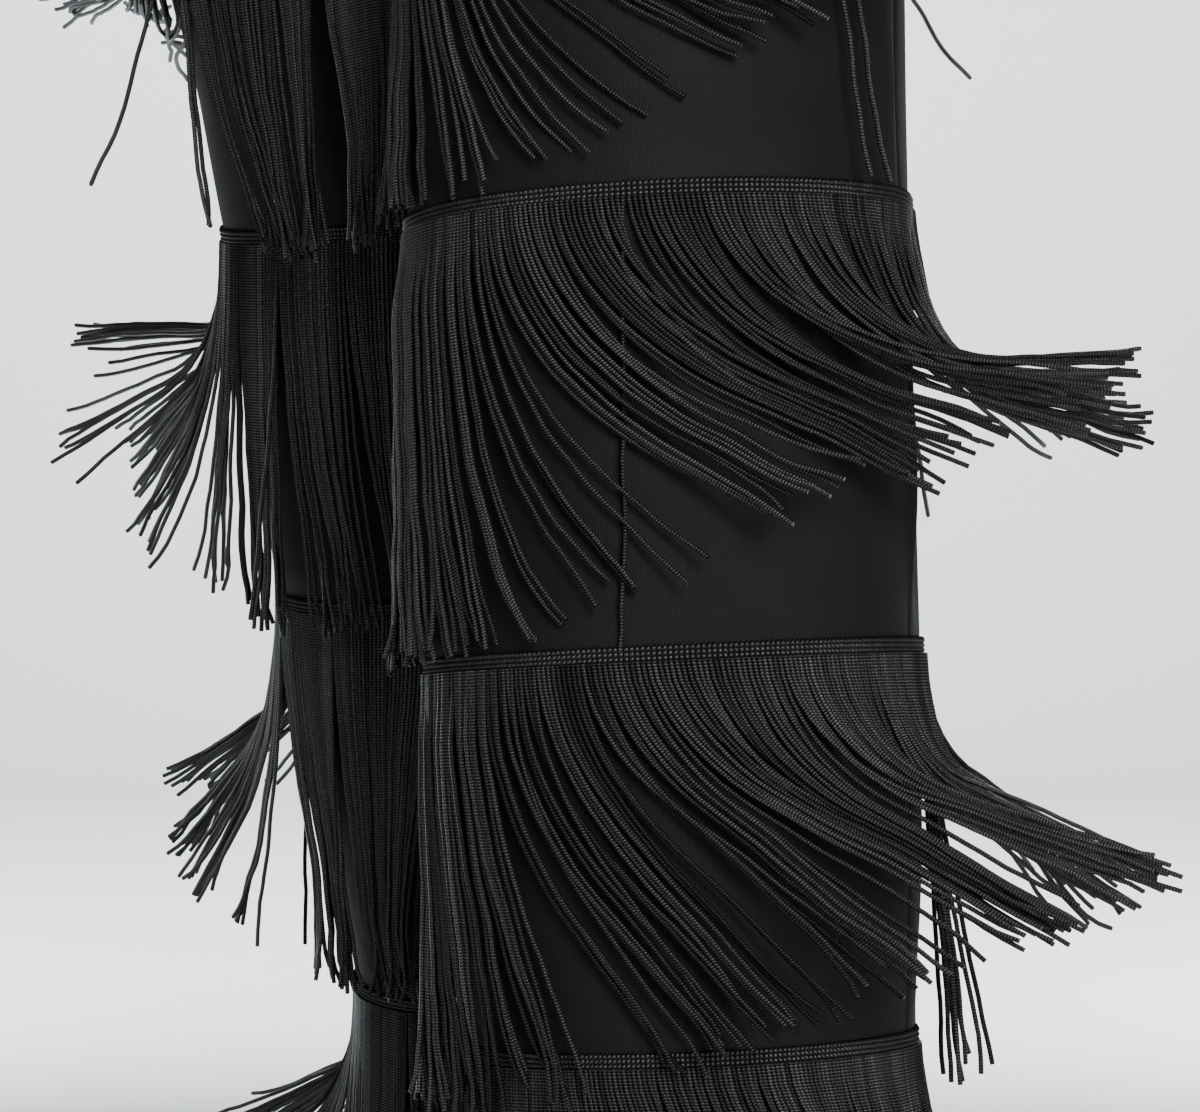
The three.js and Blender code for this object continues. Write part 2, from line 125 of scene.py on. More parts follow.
SMALL_FOLDS = (
    ("left", 628, 102, 64, 5, -0.01, 3.4),
    ("left", 632, 110, 62, 6, -0.01, -2.8),
    ("left", 468, 84, 42, 7, 0.02, -2.2),
    ("left", 470, 95, 46, 5, 0.02, 1.8),
    ("left", 596, 52, 46, 9, 0.05, -0.8),
    ("left", 655, 78, 34, 8, -0.05, 0.8),
    ("left", 250, 22, 60, 7, -0.28, -1.8),
    ("left", 232, 38, 58, 6, -0.30, 1.1),
    ("left", 300, 62, 48, 9, -0.12, -1.2),
    ("left", 306, 150, 44, 14, 0.35, -2.2),
    ("left", 318, 168, 30, 12, 0.5, 1.4),
    ("left", 212, 140, 60, 12, 0.10, -1.2),
    ("left", 590, 190, 34, 16, 0.45, -1.8),
    ("left", 640, 178, 30, 15, -0.4, 1.2),
    ("left", 760, 60, 70, 8, 0.03, -1.0),
    ("left", 780, 118, 60, 8, 0.02, 1.1),
    ("left", 930, 84, 60, 8, 0.02, -1.4),
    ("left", 955, 20, 58, 9, -0.03, 1.3),
    ("left", 940, 215, 66, 9, 0.02, -1.5),
    ("right", 290, 30, 60, 9, -0.30, 2.0),
    ("right", 268, 48, 60, 7, -0.32, -1.6),
    ("right", 330, 70, 60, 10, -0.15, 1.4),
    ("right", 420, 92, 60, 8, 0.03, -1.3),
    ("right", 300, 150, 44, 13, 0.30, -2.0),
    ("right", 330, 205, 40, 14, 0.20, 1.6),
    ("right", 580, 195, 34, 16, 0.4, -2.0),
    ("right", 620, 175, 30, 14, -0.4, 1.4),
    ("right", 600, 100, 60, 6, 0.01, 1.4),
    ("right", 768, 86, 60, 8, 0.02, -1.2),
    ("right", 770, 150, 60, 10, 0, 1.2),
    ("right", 940, 70, 60, 9, 0.02, -1.5),
    ("right", 950, 160, 60, 10, 0, 1.5),
    ("right", 935, 240, 60, 9, 0, -1.3),
)

# How the cords swing, by the turn at which they are sewn on. The tables are close to those of the
# solids and follow the photo more finely.
SWING_NAMES = ("turn", "tilt", "heading", "bend", "power")
SWINGS = {
    "left_top": np.array((
        (-90, 0, 110, 1, 1), (-50, 0, 110, 1, 1), (-32, 12, 110, 1, 0.8), (-18, 42, 110, 1, 0.7),
        (-10, 66, 110, 0.95, 0.6), (2, 74, 112, 0.75, 0.5), (15, 82, 113, 0.6, 0.5),
        (28, 90, 116, 0.6, 0.5), (44, 98, 120, 0.55, 0.6), (61, 104, 124, 0.5, 0.8),
        (78, 110, 128, 0.45, 1), (98, 112, 134, 0.42, 1.2), (120, 110, 150, 0.42, 1.2),
        (150, 106, 165, 0.42, 1.2), (152, 9, 250, 0.6, 1), (165, 7, 250, 0.6, 1),
        (200, 0, 250, 1, 1), (270, 0, 110, 1, 1),
    ), float),
    "left": np.array((
        (-90, 0, 110, 1, 1), (-57, 0, 110, 1, 1), (-45, 4, 110, 1, 0.9), (-35, 11, 110, 1, 0.8),
        (-26, 21, 110, 1, 0.7), (-18, 34, 110, 1, 0.7), (-10, 56, 110, 0.95, 0.6),
        (2, 63, 112, 0.75, 0.5), (15, 68, 113, 0.6, 0.5), (28, 76, 116, 0.66, 0.5),
        (44, 82, 124, 0.7, 0.55), (61, 85, 139, 0.72, 0.65),
        (78, 88, 153, 0.66, 0.85), (98, 89, 163, 0.54, 1.3), (120, 88, 172, 0.52, 1.3),
        (132, 84, 178, 0.5, 1.2), (134, 9, 250, 0.6, 1), (165, 7, 250, 0.6, 1),
        (200, 0, 250, 1, 1), (270, 0, 110, 1, 1),
    ), float),
    "right_top": np.array((
        (-90, 0, -95, 0.8, 1), (-45, 0, -95, 0.8, 1), (-20, 10, -95, 0.8, 1),
        (0, 19, -95, 0.85, 1), (19, 27, -95, 0.9, 1), (21, 98, 150, 0.6, 1),
        (50, 100, 134, 0.5, 1), (65, 100, 134, 0.4, 1), (90, 100, 134, 0.4, 1),
        (110, 96, 140, 0.35, 1), (130, 70, 140, 0.5, 1), (150, 30, 170, 0.9, 1),
        (170, 8, 180, 1, 1), (190, 0, 180, 1, 1), (270, 0, 180, 1, 1),
    ), float),
    "right": np.array((
        (-90, 0, -95, 0.6, 1), (-40, 0, -95, 0.6, 1), (-15, 8, -95, 0.6, 1), (0, 14, -95, 0.6, 1),
        (14, 12, -95, 0.6, 1), (16, 10, 150, 0.9, 1), (26, 22, 146, 0.9, 1),
        (34, 34, 138, 0.85, 1.1), (44, 48, 128, 0.75, 1.1), (56, 62, 118, 0.6, 1.1),
        (75, 78, 108, 0.5, 1.1), (92, 88, 106, 0.45, 1.1), (110, 88, 110, 0.45, 1.1),
        (128, 62, 138, 0.6, 1.1), (145, 30, 160, 0.9, 1), (165, 8, 170, 1, 1),
        (190, 0, 180, 1, 1), (270, 0, 180, 1, 1),
    ), float),
}
TIER_SWINGS = {
    "left": ("left_top", "left", "left", "left"),
    "right": ("right_top", "right", "right", "right"),
}
TIER_TILTS = {"left": (1, 1, 0.78, 0.85), "right": (1, 1, 0.74, 0.82)}
TIER_BENDS = {"left": (1, 1, 0.66, 0.9), "right": (1, 1, 1.1, 1)}
PATH_STEPS = 44
PATTERN_SEED = 5
WAVE_SEEDS = {"left": 5, "right": 6}
WAVES = 9
UNBEND_ROUNDS = 8
INSEAM = -90.0

# Make of the panels: width their columns are shared out over, how far the cloth rolls in at
# seams and ends, how a tape presses it in, and the step and the rows of the turned hem
PANEL_WIDTH = 320.0
PATTERN_RADIUS = 100.0
SEAM_DIP, SEAM_ROLL = 0.75, 1.6
INNER_DIP = 0.35
END_DIP, END_ROLL = 0.5, 1.3
MIDDLE_SEAM_REACH = 8.0
TAPE_PRESS, TAPE_PRESS_REACH = 0.25, 7.0
TAPE_FLATTENS, TAPE_FLATTENS_REACH = 0.75, 12.0
HEM_TURN, HEM_STEP = 20.8, 0.35
HEM_ROWS = (19.0, 19.8, 20.6, 21.6)
HEM_STITCHES = (15.5, 18.2)

# Make of the waistband: drops of its rows, the drop of its stitches and the pitch of its gathers
BAND_ROWS = (0, 0.4, 1.2, 2.6, 6, 10, 14, 18, 22, 26, 29, 31, 33, 36, 38.4, 39.4, 39.85)
BAND_LOWER_EDGE = 39.85
BAND_RADIUS = 110.0
BAND_STITCH_DROP = 31.0
BAND_STITCH_POINTS = 240
GATHER_PITCH = 6.5

# Where a cord leaves its tape, how far it first stands off the cloth, how far it lifts off it
# towards its end, and the clearance and heading of a cord that hangs straight
ROOT_DROP, ROOT_OUT = 6.0, 1.9
ROOT_CLEARANCE = 2.2
END_LIFT = 2.5
STRAIGHT_CLEARANCE = 2.4
STRAIGHT_HEADING = 110

# How unevenly the cords hang. A lock is a few cords that cling together, and a pair gives the
# least value and the most that chance adds to it.
LOCK_TILT, LOCK_TURN = 0.06, 6
CORD_TILT, CORD_TILT_SHARE, CORD_TURN = 0.5, 0.03, 3
LAGGARD_SHARE, LAGGARD_POWER = 0.2, 7
LENGTH_SPREAD = 0.016
HANG_CLEARANCE = (3.4, 3.0)
LOCK_CLOSING = (0.12, 0.45)
FLICK, FLICK_POWER = 1.8, 4
CURL, CURL_POWER = 2.6, 12
END_TAPER = 0.8

# Single cords that hang almost straight among the swinging ones
STRAIGHT_NAMES = ("leg", "tier", "turn", "tilt")
STRAIGHT_CORDS = (
    ("left", 0, 70, 9), ("left", 0, 75, 8), ("left", 1, 24, 1), ("left", 1, 137, 2),
    ("left", 2, 112, 9), ("left", 2, 115, 6), ("left", 2, 118, 11), ("left", 2, 121, 5),
    ("left", 2, 124, 8), ("left", 2, 127, 4), ("left", 2, 130, 7), ("left", 2, 133, 10),
    ("left", 3, 126, 6), ("left", 3, 133, 3), ("right", 1, 96, 3), ("right", 2, 88, 3),
    ("right", 2, 121, 2), ("right", 3, 99, 3),
)


# The form of the trousers

def smooth(value):
    """Smooth step from 0 to 1."""
    t = np.clip(value, 0.0, 1.0)
    return t * t * (3.0 - 2.0 * t)


def section_at(drop):
    """The leg's cross-section at drops below the waist, by smooth interpolation of the table."""
    drops = SECTIONS[:, 0]
    depth = np.clip(np.asarray(drop, float), drops[0], drops[-1])
    row = np.clip(np.searchsorted(drops, depth, side="right") - 1, 0, len(drops) - 2)
    slopes = np.empty_like(SECTIONS)
    slopes[1:-1] = (SECTIONS[2:] - SECTIONS[:-2]) / (drops[2:] - drops[:-2])[:, None]
    slopes[0] = (SECTIONS[1] - SECTIONS[0]) / (drops[1] - drops[0])
    slopes[-1] = (SECTIONS[-1] - SECTIONS[-2]) / (drops[-1] - drops[-2])
    span = (drops[row + 1] - drops[row])[..., None]
    t = (depth[..., None] - drops[row][..., None]) / span
    found = (
        (2 * t**3 - 3 * t * t + 1) * SECTIONS[row]
        + (t**3 - 2 * t * t + t) * slopes[row] * span
        + (3 * t * t - 2 * t**3) * SECTIONS[row + 1]
        + (t**3 - t * t) * slopes[row + 1] * span
    )
    return {name: found[..., k] for k, name in enumerate(SECTION_NAMES)}


def pose_share(points):
    """Share of the pose that points of the unposed leg take: none above the crotch seam."""
    reach = smooth(np.abs(points[..., 0]) / POSE_BLEND_WIDTH)
    start = CROTCH_DROP + (POSE_STARTS_OUTSIDE - CROTCH_DROP) * reach
    return smooth((-points[..., 2] - start) / (POSE_FULL - start))


def swing_outward(pose, points, angle):
    """Turns points outward about the hip."""
    dx = points[..., 0] - pose["sign"] * HIP_X
    dz = points[..., 2] + HIP_DROP
    x = pose["sign"] * HIP_X + dx * np.cos(angle) - dz * np.sin(angle)
    z = -HIP_DROP + dz * np.cos(angle) + dx * np.sin(angle)
    return np.stack((x, points[..., 1], z), -1)


def swing_back(points, angle):
    """Turns points back about the hip."""
    dz = points[..., 2] + HIP_DROP
    y = points[..., 1] * np.cos(angle) - dz * np.sin(angle)
    z = -HIP_DROP + dz * np.cos(angle) + points[..., 1] * np.sin(angle)
    return np.stack((points[..., 0], y, z), -1)


def posed(leg, points):
    """Takes points of the unposed leg to the pose."""
    pose, share = POSES[leg], pose_share(points)
    moved = swing_outward(pose, points, np.radians(pose["outward"]) * share * pose["sign"])
    moved = swing_back(moved, np.radians(pose["back"]) * share)
    moved[..., 1] += pose["step"] * share
    return moved


def unposed(leg, points):
    """Takes posed points back to the unposed leg."""
    pose, guess = POSES[leg], points.copy()
    for _ in range(UNBEND_ROUNDS):
        share = pose_share(guess)
        lifted = points.copy()
        lifted[..., 1] -= pose["step"] * share
        lifted = swing_back(lifted, -np.radians(pose["back"]) * share)
        guess = swing_outward(pose, lifted, -np.radians(pose["outward"]) * share * pose["sign"])
    return guess


def fold_height(leg, drop, turn, folds):
    """Height of a table's folds at places on the cloth, falling away smoothly to nothing."""
    height = np.zeros(np.broadcast(drop, turn).shape)
    for row in folds:
        fold = dict(zip(FOLD_NAMES, row))
        if fold["leg"] != leg:
            continue
        across = np.abs(turn - fold["turn"] - fold["lean"] * (drop - fold["drop"]))
        down = np.abs(drop - fold["drop"]) / fold["tall"]
        height = height + fold["height"] * smooth(1 - down) * smooth(1 - across / fold["wide"])
    return height


def unevenness(leg, drop, turn):
    """Slight waviness of hanging jersey, in millimetres."""
    rng = np.random.default_rng(WAVE_SEEDS[leg])
    height = np.zeros(np.broadcast(drop, turn).shape)
    for _ in range(WAVES):
        rounds = rng.integers(1, 7)
        per_mm = rng.uniform(0.006, 0.030)
        phase = rng.uniform(0, 2 * math.pi)
        wave = np.sin(np.radians(turn) * rounds + drop * per_mm + phase)
        height = height + rng.uniform(0.10, 0.26) * wave
    return height


def leg_point(leg, drop, turn, out):
    """Points of the unposed leg, at distances out from the cloth's outer face."""
    drop, turn = np.asarray(drop, float), np.asarray(turn, float)
    section = section_at(drop)
    sine, cosine = np.sin(np.radians(turn)), np.cos(np.radians(turn))
    width = np.where(sine > 0, section["outer"], section["inner"])
    depth = np.where(cosine > 0, section["front"], section["back"])
    nx, ny = sine / width, -cosine / depth
    long = np.hypot(nx, ny)
    offset = out + fold_height(leg, drop, turn, LARGE_FOLDS)
    x = section["centre_x"] + width * sine + offset * nx / long
    y = section["centre_y"] - depth * cosine + offset * ny / long
    return np.stack(np.broadcast_arrays(POSES[leg]["sign"] * x, y, -drop), -1)


def cloth_point(leg, drop, turn, out):
    """Points of the posed cloth."""
    return posed(leg, leg_point(leg, drop, turn, out))


def side_seam(drop):
    """Turn of the side seam at drops."""
    share = smooth(np.asarray(drop, float) / SIDE_SEAM_SETTLES)
    return SIDE_SEAM_AT_WAIST + (SIDE_SEAM_ON_LEG - SIDE_SEAM_AT_WAIST) * share


def inner_turn(drop):
    """Turn at which a front panel ends, taken positive: mid body, then the inseam."""
    section = section_at(drop)
    reach = np.clip(section["centre_x"] / section["inner"], -1, 1)
    return np.where(np.asarray(drop) >= CROTCH_DROP, 90.0, np.degrees(np.arcsin(reach)))


def pushed_out(leg, points, distance):
    """Points moved out of one leg's cloth to a distance from it, where they are nearer."""
    sign = POSES[leg]["sign"]
    upright = unposed(leg, points)
    section = section_at(-upright[..., 2])
    dx = sign * upright[..., 0] - section["centre_x"]
    dy = upright[..., 1] - section["centre_y"]
    width = np.where(dx > 0, section["outer"], section["inner"]) + distance
    depth = np.where(dy < 0, section["front"], section["back"]) + distance
    reach = np.hypot(dx / width, dy / depth)
    grow = np.where(reach < 1, 1 / np.maximum(reach, 0.2), 1.0)
    x = sign * (section["centre_x"] + dx * grow)
    y = section["centre_y"] + dy * grow
    moved = posed(leg, np.stack((x, y, upright[..., 2]), -1))
    return np.where((reach < 1)[..., None], moved, points)


# Meshes

def add_object(name, mesh, material):
    """Links a new object with one material to the scene."""
    thing = bpy.data.objects.new(name, mesh)
    bpy.context.scene.collection.objects.link(thing)
    if material is not None:
        mesh.materials.append(material)
    return thing


def mesh_from(name, points, faces, pattern=None):
    """A smooth mesh from points in millimetres; pattern gives each point its UV."""
    mesh = bpy.data.meshes.new(name)
    mesh.from_pydata((points * MM).tolist(), [], faces.tolist())
    mesh.polygons.foreach_set("use_smooth", np.ones(len(mesh.polygons), bool))
    if pattern is not None:
        corners = np.empty(len(mesh.loops), int)
        mesh.loops.foreach_get("vertex_index", corners)
        layer = mesh.uv_layers.new(name="pattern")
        layer.data.foreach_set("uv", pattern[corners].ravel())
    mesh.validate()
    return mesh


def wall_mesh(name, outer, inner, pattern, flip=False):
    """A closed wall between two grids of points."""
    rows, columns = outer.shape[:2]
    points = np.concatenate((outer.reshape(-1, 3), inner.reshape(-1, 3)))
    ids = np.arange(rows * columns).reshape(rows, columns)
    deep = ids + rows * columns

    def quads(a, b, c, d):
        return np.stack((a, b, c, d), -1).reshape(-1, 4)

    faces = np.concatenate((
        quads(ids[:-1, :-1], ids[1:, :-1], ids[1:, 1:], ids[:-1, 1:]),
        quads(deep[:-1, :-1], deep[:-1, 1:], deep[1:, 1:], deep[1:, :-1]),
        quads(ids[0, :-1], ids[0, 1:], deep[0, 1:], deep[0, :-1]),
        quads(ids[-1, :-1], deep[-1, :-1], deep[-1, 1:], ids[-1, 1:]),
        quads(ids[:-1, 0], deep[:-1, 0], deep[1:, 0], ids[1:, 0]),
        quads(ids[:-1, -1], ids[1:, -1], deep[1:, -1], deep[:-1, -1]),
    ))
    if flip:
        faces = faces[:, ::-1]
    return mesh_from(name, points, faces, np.concatenate((pattern, pattern)).reshape(-1, 2))


def finer_ends(count, width, ends):
    """Shares from 0 to 1 with extra ones at distances from both ends, over a width."""
    near = np.array(ends, float) / width
    middle = np.linspace(near[-1], 1 - near[-1], count)
    return np.concatenate((near[:-1], middle, 1 - near[-2::-1]))


# Node trees and materials

class Graph:
    """Adds nodes to a tree and joins them by the names of their inputs."""

    def __init__(self, tree):
        self.tree = tree

    def add(self, kind, values=None, **settings):
        """A new node; a value that is a socket is linked, any other is set."""
        node = self.tree.nodes.new(kind)
        for name, value in settings.items():
            setattr(node, name, value)
        for key, value in (values or {}).items():
            self.join(value, node.inputs[key])
        return node

    def join(self, value, socket):
        """Links a socket, or sets a plain value."""
        if isinstance(value, bpy.types.NodeSocket):
            self.tree.links.new(value, socket)
        else:
            socket.default_value = value

    def math(self, operation, *values):
        """The result of one math node."""
        return self.add("ShaderNodeMath", dict(enumerate(values)), operation=operation).outputs[0]

    def blend(self, factor, dark, light):
        """A colour between two others."""
        node = self.add("ShaderNodeMix", {0: factor}, data_type="RGBA")
        self.join(dark, node.inputs[6])
        self.join(light, node.inputs[7])
        return node.outputs[2]


def new_group(name, kind, inputs, outputs):
    """A node group with named sockets, and its input and output nodes."""
    tree = bpy.data.node_groups.new(name, kind)
    for label, socket, value in inputs:
        made = tree.interface.new_socket(label, in_out="INPUT", socket_type=socket)
        if value is not None:
            made.default_value = value
    for label, socket in outputs:
        tree.interface.new_socket(label, in_out="OUTPUT", socket_type=socket)
    graph = Graph(tree)
    return graph, graph.add("NodeGroupInput").outputs, graph.add("NodeGroupOutput").inputs


def make_jersey_group():
    """Fine ribs of loops in stretch jersey, with the uneven grain of its yarn."""
    graph, given, result = new_group(
        "Jersey surface", "ShaderNodeTree",
        (("Place", "NodeSocketVector", None), ("Rib spacing", "NodeSocketFloat", 0.0011),
         ("Loop height", "NodeSocketFloat", 0.0009)),
        (("Height", "NodeSocketFloat"), ("Tone", "NodeSocketFloat")),
    )
    place = graph.add("ShaderNodeSeparateXYZ", {0: given["Place"]}).outputs
    across = graph.math("DIVIDE", place[0], given["Rib spacing"])
    rib = graph.math("COSINE", graph.math("MULTIPLY", across, 2 * math.pi))
    slant = graph.math("MULTIPLY", graph.math("ABSOLUTE", rib), 1.4)
    down = graph.math("MULTIPLY", graph.math("DIVIDE", place[1], given["Loop height"]), 2 * math.pi)
    loop = graph.math("SINE", graph.math("ADD", down, slant))
    grain = graph.add(
        "ShaderNodeTexNoise", {"Vector": given["Place"], "Scale": 900.0, "Detail": 3.0},
    ).outputs[0]
    patch = graph.add(
        "ShaderNodeTexNoise", {"Vector": given["Place"], "Scale": 22.0, "Detail": 2.0},
    ).outputs[0]
    knit = graph.math("ADD", graph.math("MULTIPLY", rib, 0.25), graph.math("MULTIPLY", loop, 0.12))
    graph.join(graph.math("ADD", knit, graph.math("MULTIPLY", grain, 0.9)), result["Height"])
    mixed = graph.math("ADD", graph.math("MULTIPLY", grain, 0.6), graph.math("MULTIPLY", patch, 0.4))
    graph.join(mixed, result["Tone"])
    return graph.tree


def make_chain_group():
    """Interlocking slanted links of a chainette cord, with painted highlights on the links' crowns
    and painted shade in the gaps between them.
    """
    graph, given, result = new_group(
        "Chainette surface", "ShaderNodeTree",
        (("Along", "NodeSocketFloat", 0.0), ("Rim", "NodeSocketVector", None),
         ("Link length", "NodeSocketFloat", 0.00125), ("Tone", "NodeSocketFloat", 0.5)),
        (("Height", "NodeSocketFloat"), ("Tone", "NodeSocketFloat")),
    )
    rim = graph.add("ShaderNodeSeparateXYZ", {0: given["Rim"]}).outputs
    links = graph.math("DIVIDE", given["Along"], given["Link length"])
    slant = graph.math("MULTIPLY", graph.math("ABSOLUTE", rim[0]), 2.4)
    turn = graph.math("ADD", graph.math("MULTIPLY", links, 2 * math.pi), slant)
    link = graph.math("MULTIPLY_ADD", graph.math("SINE", turn), 0.5, 0.5)
    groove = graph.math("POWER", graph.math("ABSOLUTE", rim[1]), 0.5)
    height = graph.math("MULTIPLY", link, graph.math("MULTIPLY_ADD", groove, 0.6, 0.4))
    graph.join(height, result["Height"])
    # Painted light: the colour is lit on the crowns of the links and shaded in the gaps between
    # them, following their height
    painted_link_light = graph.math("MULTIPLY_ADD", graph.math("POWER", link, 1.5), 0.9, 0.1)
    graph.join(graph.math("MULTIPLY", painted_link_light, given["Tone"]), result["Tone"])
    return graph.tree


def make_bead_group():
    """Rows of knitted beads with thin stitch lines between them, on a fringe tape, with painted
    shade in the hollows between the beads.
    """
    graph, given, result = new_group(
        "Tape surface", "ShaderNodeTree",
        (("Place", "NodeSocketVector", None), ("Rows", "NodeSocketFloat", float(BEAD_ROWS))),
        (("Height", "NodeSocketFloat"), ("Tone", "NodeSocketFloat")),
    )
    place = graph.add("ShaderNodeSeparateXYZ", {0: given["Place"]}).outputs
    column = graph.math("ABSOLUTE", graph.math("SINE", graph.math("MULTIPLY", place[0], math.pi)))
    rows = graph.math("MULTIPLY", graph.math("MULTIPLY", place[1], given["Rows"]), math.pi)
    row = graph.math("ABSOLUTE", graph.math("SINE", rows))
    bead = graph.math("MULTIPLY", graph.math("POWER", column, 0.6), graph.math("POWER", row, 0.6))
    lines = graph.math("COSINE", graph.math("MULTIPLY", rows, 2.0))
    thread = graph.math("GREATER_THAN", lines, 0.93)
    noise = graph.add(
        "ShaderNodeTexNoise", {"Vector": given["Place"], "Scale": 1.7, "Detail": 2.0},
    ).outputs[0]
    raised = graph.math("MULTIPLY_ADD", thread, 0.35, bead)
    graph.join(graph.math("MULTIPLY_ADD", noise, 0.35, raised), result["Height"])
    # Painted shade and highlight: the colour follows the relief, lighter on the beads and stitch
    # lines and darker in the hollows
    graph.join(graph.math("MULTIPLY", raised, graph.math("ADD", noise, 0.35)), result["Tone"])
    return graph.tree


def fabric_material(name, dark, light, roughness, shine, sheen, depth):
    """A soft dark material; the caller joins its tone and its height."""
    material = bpy.data.materials.new(name)
    material.use_nodes = True
    material.node_tree.nodes.clear()
    graph = Graph(material.node_tree)
    body = graph.add("ShaderNodeBsdfPrincipled")
    output = graph.add("ShaderNodeOutputMaterial")
    graph.join(body.outputs[0], output.inputs["Surface"])
    body.inputs["Roughness"].default_value = roughness
    body.inputs["Sheen Weight"].default_value = sheen
    body.inputs["Sheen Roughness"].default_value = 0.45
    tone = graph.add("ShaderNodeMath", {1: 1.0}, operation="MULTIPLY", use_clamp=True)
    colour = graph.blend(tone.outputs[0], (*dark, 1), (*light, 1))
    graph.join(colour, body.inputs["Base Color"])
    gloss = graph.math("MULTIPLY_ADD", tone.outputs[0], 0.9 * shine, 0.1 * shine)
    graph.join(gloss, body.inputs["Specular IOR Level"])
    bump = graph.add("ShaderNodeBump", {"Strength": 1.0, "Distance": depth})
    graph.join(bump.outputs[0], body.inputs["Normal"])
    return graph, tone.inputs[0], bump.inputs["Height"]


def surfaced(graph, tree, values, tone, height):
    """Adds a surface group with its inputs, and joins its tone and height to a material's."""
    group = graph.add("ShaderNodeGroup", node_tree=tree)
    for name, value in values.items():
        graph.join(value, group.inputs[name])
    graph.join(group.outputs["Tone"], tone)
    graph.join(group.outputs["Height"], height)


def make_materials():
    """Every fabric of the trousers."""
    jersey = make_jersey_group()
    chain = make_chain_group()
    beads = make_bead_group()

    for name, rib, dark, light in (
        ("Trouser jersey", 0.0011, (0.0030, 0.0030, 0.0033), (0.0095, 0.0095, 0.0102)),
        ("Waistband jersey", 0.0014, (0.0030, 0.0030, 0.0033), (0.0092, 0.0092, 0.0098)),
    ):
        graph, tone, height = fabric_material(name, dark, light, 0.6, 0.06, 0.002, 0.00014)
        place = graph.add("ShaderNodeUVMap", uv_map="pattern").outputs[0]
        surfaced(graph, jersey, {"Place": place, "Rib spacing": rib}, tone, height)

    # The light colour is the painted highlight on the links' crowns and the dark one the painted
    # shade in their gaps, scaled by each cord's own tone
    graph, tone, height = fabric_material(
        "Chainette cord", (0.0004, 0.0004, 0.0005), (0.030, 0.030, 0.031), 0.34, 0.62, 0.0, 0.0004)
    kept = {
        name: graph.add("ShaderNodeAttribute", attribute_name=name).outputs
        for name in ("along", "rim", "tone")
    }
    surfaced(graph, chain, {
        "Along": kept["along"]["Fac"], "Rim": kept["rim"]["Vector"], "Tone": kept["tone"]["Fac"],
    }, tone, height)

    # The dark colour is painted shade in the hollows between beads, the light one the lit bead
    # crowns and stitch lines
    graph, tone, height = fabric_material(
        "Fringe tape knit", (0.0002, 0.0002, 0.0003), (0.010, 0.010, 0.011), 0.36, 0.3, 0.0, 0.0006)
    place = graph.add("ShaderNodeUVMap", uv_map="pattern").outputs[0]
    surfaced(graph, beads, {"Place": place}, tone, height)

    graph, tone, height = fabric_material(
        "Sewing thread", (0.008, 0.008, 0.0085), (0.026, 0.026, 0.027), 0.55, 0.3, 0.03, 0.00005)
    place = graph.add("ShaderNodeTexCoord").outputs["Object"]
    twist = graph.add("ShaderNodeTexNoise", {"Vector": place, "Scale": 2600.0, "Detail": 1.0})
    graph.join(twist.outputs[0], tone)
    graph.join(twist.outputs[0], height)


def material_named(name):
    """One of the fabrics, made on first use."""
    if name not in bpy.data.materials:
        make_materials()
    return bpy.data.materials[name]


# Geometry Nodes for cords and stitches

def make_cord_tree():
    """Turns paths into round cords, with slight wandering towards their free ends."""
    graph, given, result = new_group(
        "Cord fringe", "GeometryNodeTree",
        (("Geometry", "NodeSocketGeometry", None), ("Cord radius", "NodeSocketFloat", 0.001),
         ("Sides", "NodeSocketInt", 5), ("Wander", "NodeSocketFloat", 0.001),
         ("Seed", "NodeSocketInt", PATTERN_SEED), ("Material", "NodeSocketMaterial", None)),
        (("Geometry", "NodeSocketGeometry"),),
    )
    curves = graph.add("GeometryNodeMeshToCurve", {0: given["Geometry"]}).outputs[0]
    parameter = graph.add("GeometryNodeSplineParameter").outputs
    noise = graph.add(
        "ShaderNodeTexNoise", {"W": given["Seed"], "Scale": 34.0, "Detail": 1.0},
        noise_dimensions="4D",
    ).outputs["Color"]
    centred = graph.add("ShaderNodeVectorMath", {0: noise, 1: (0.5, 0.5, 0.5)}, operation="SUBTRACT")
    reach = graph.math("MULTIPLY", parameter["Factor"], given["Wander"])
    offset = graph.add("ShaderNodeVectorMath", {0: centred.outputs[0]}, operation="SCALE")
    graph.join(reach, offset.inputs["Scale"])
    curves = graph.add(
        "GeometryNodeSetPosition", {"Geometry": curves, "Offset": offset.outputs[0]},
    ).outputs[0]
    thickness = graph.add("GeometryNodeInputNamedAttribute", {"Name": "thickness"})
    curves = graph.add(
        "GeometryNodeSetCurveRadius", {"Curve": curves, "Radius": thickness.outputs[0]},
    ).outputs[0]
    curves = graph.add("GeometryNodeStoreNamedAttribute", {
        "Geometry": curves, "Name": "along", "Value": parameter["Length"]}).outputs[0]
    circle = graph.add("GeometryNodeCurvePrimitiveCircle", {
        "Resolution": given["Sides"], "Radius": given["Cord radius"]}).outputs[0]
    around = graph.add("ShaderNodeVectorMath", {
        0: graph.add("GeometryNodeInputPosition").outputs[0]}, operation="NORMALIZE").outputs[0]
    store = graph.add("GeometryNodeStoreNamedAttribute", data_type="FLOAT_VECTOR")
    graph.join(circle, store.inputs["Geometry"])
    graph.join("rim", store.inputs["Name"])
    graph.join(around, store.inputs["Value"])
    solid = graph.add("GeometryNodeCurveToMesh", {
        "Curve": curves, "Profile Curve": store.outputs[0], "Fill Caps": True}).outputs[0]
    solid = graph.add("GeometryNodeSetShadeSmooth", {0: solid}).outputs[0]
    solid = graph.add("GeometryNodeRealizeInstances", {0: solid}).outputs[0]
    solid = graph.add("GeometryNodeSetMaterial", {
        "Geometry": solid, "Material": given["Material"]}).outputs[0]
    graph.join(solid, result["Geometry"])
    return graph.tree


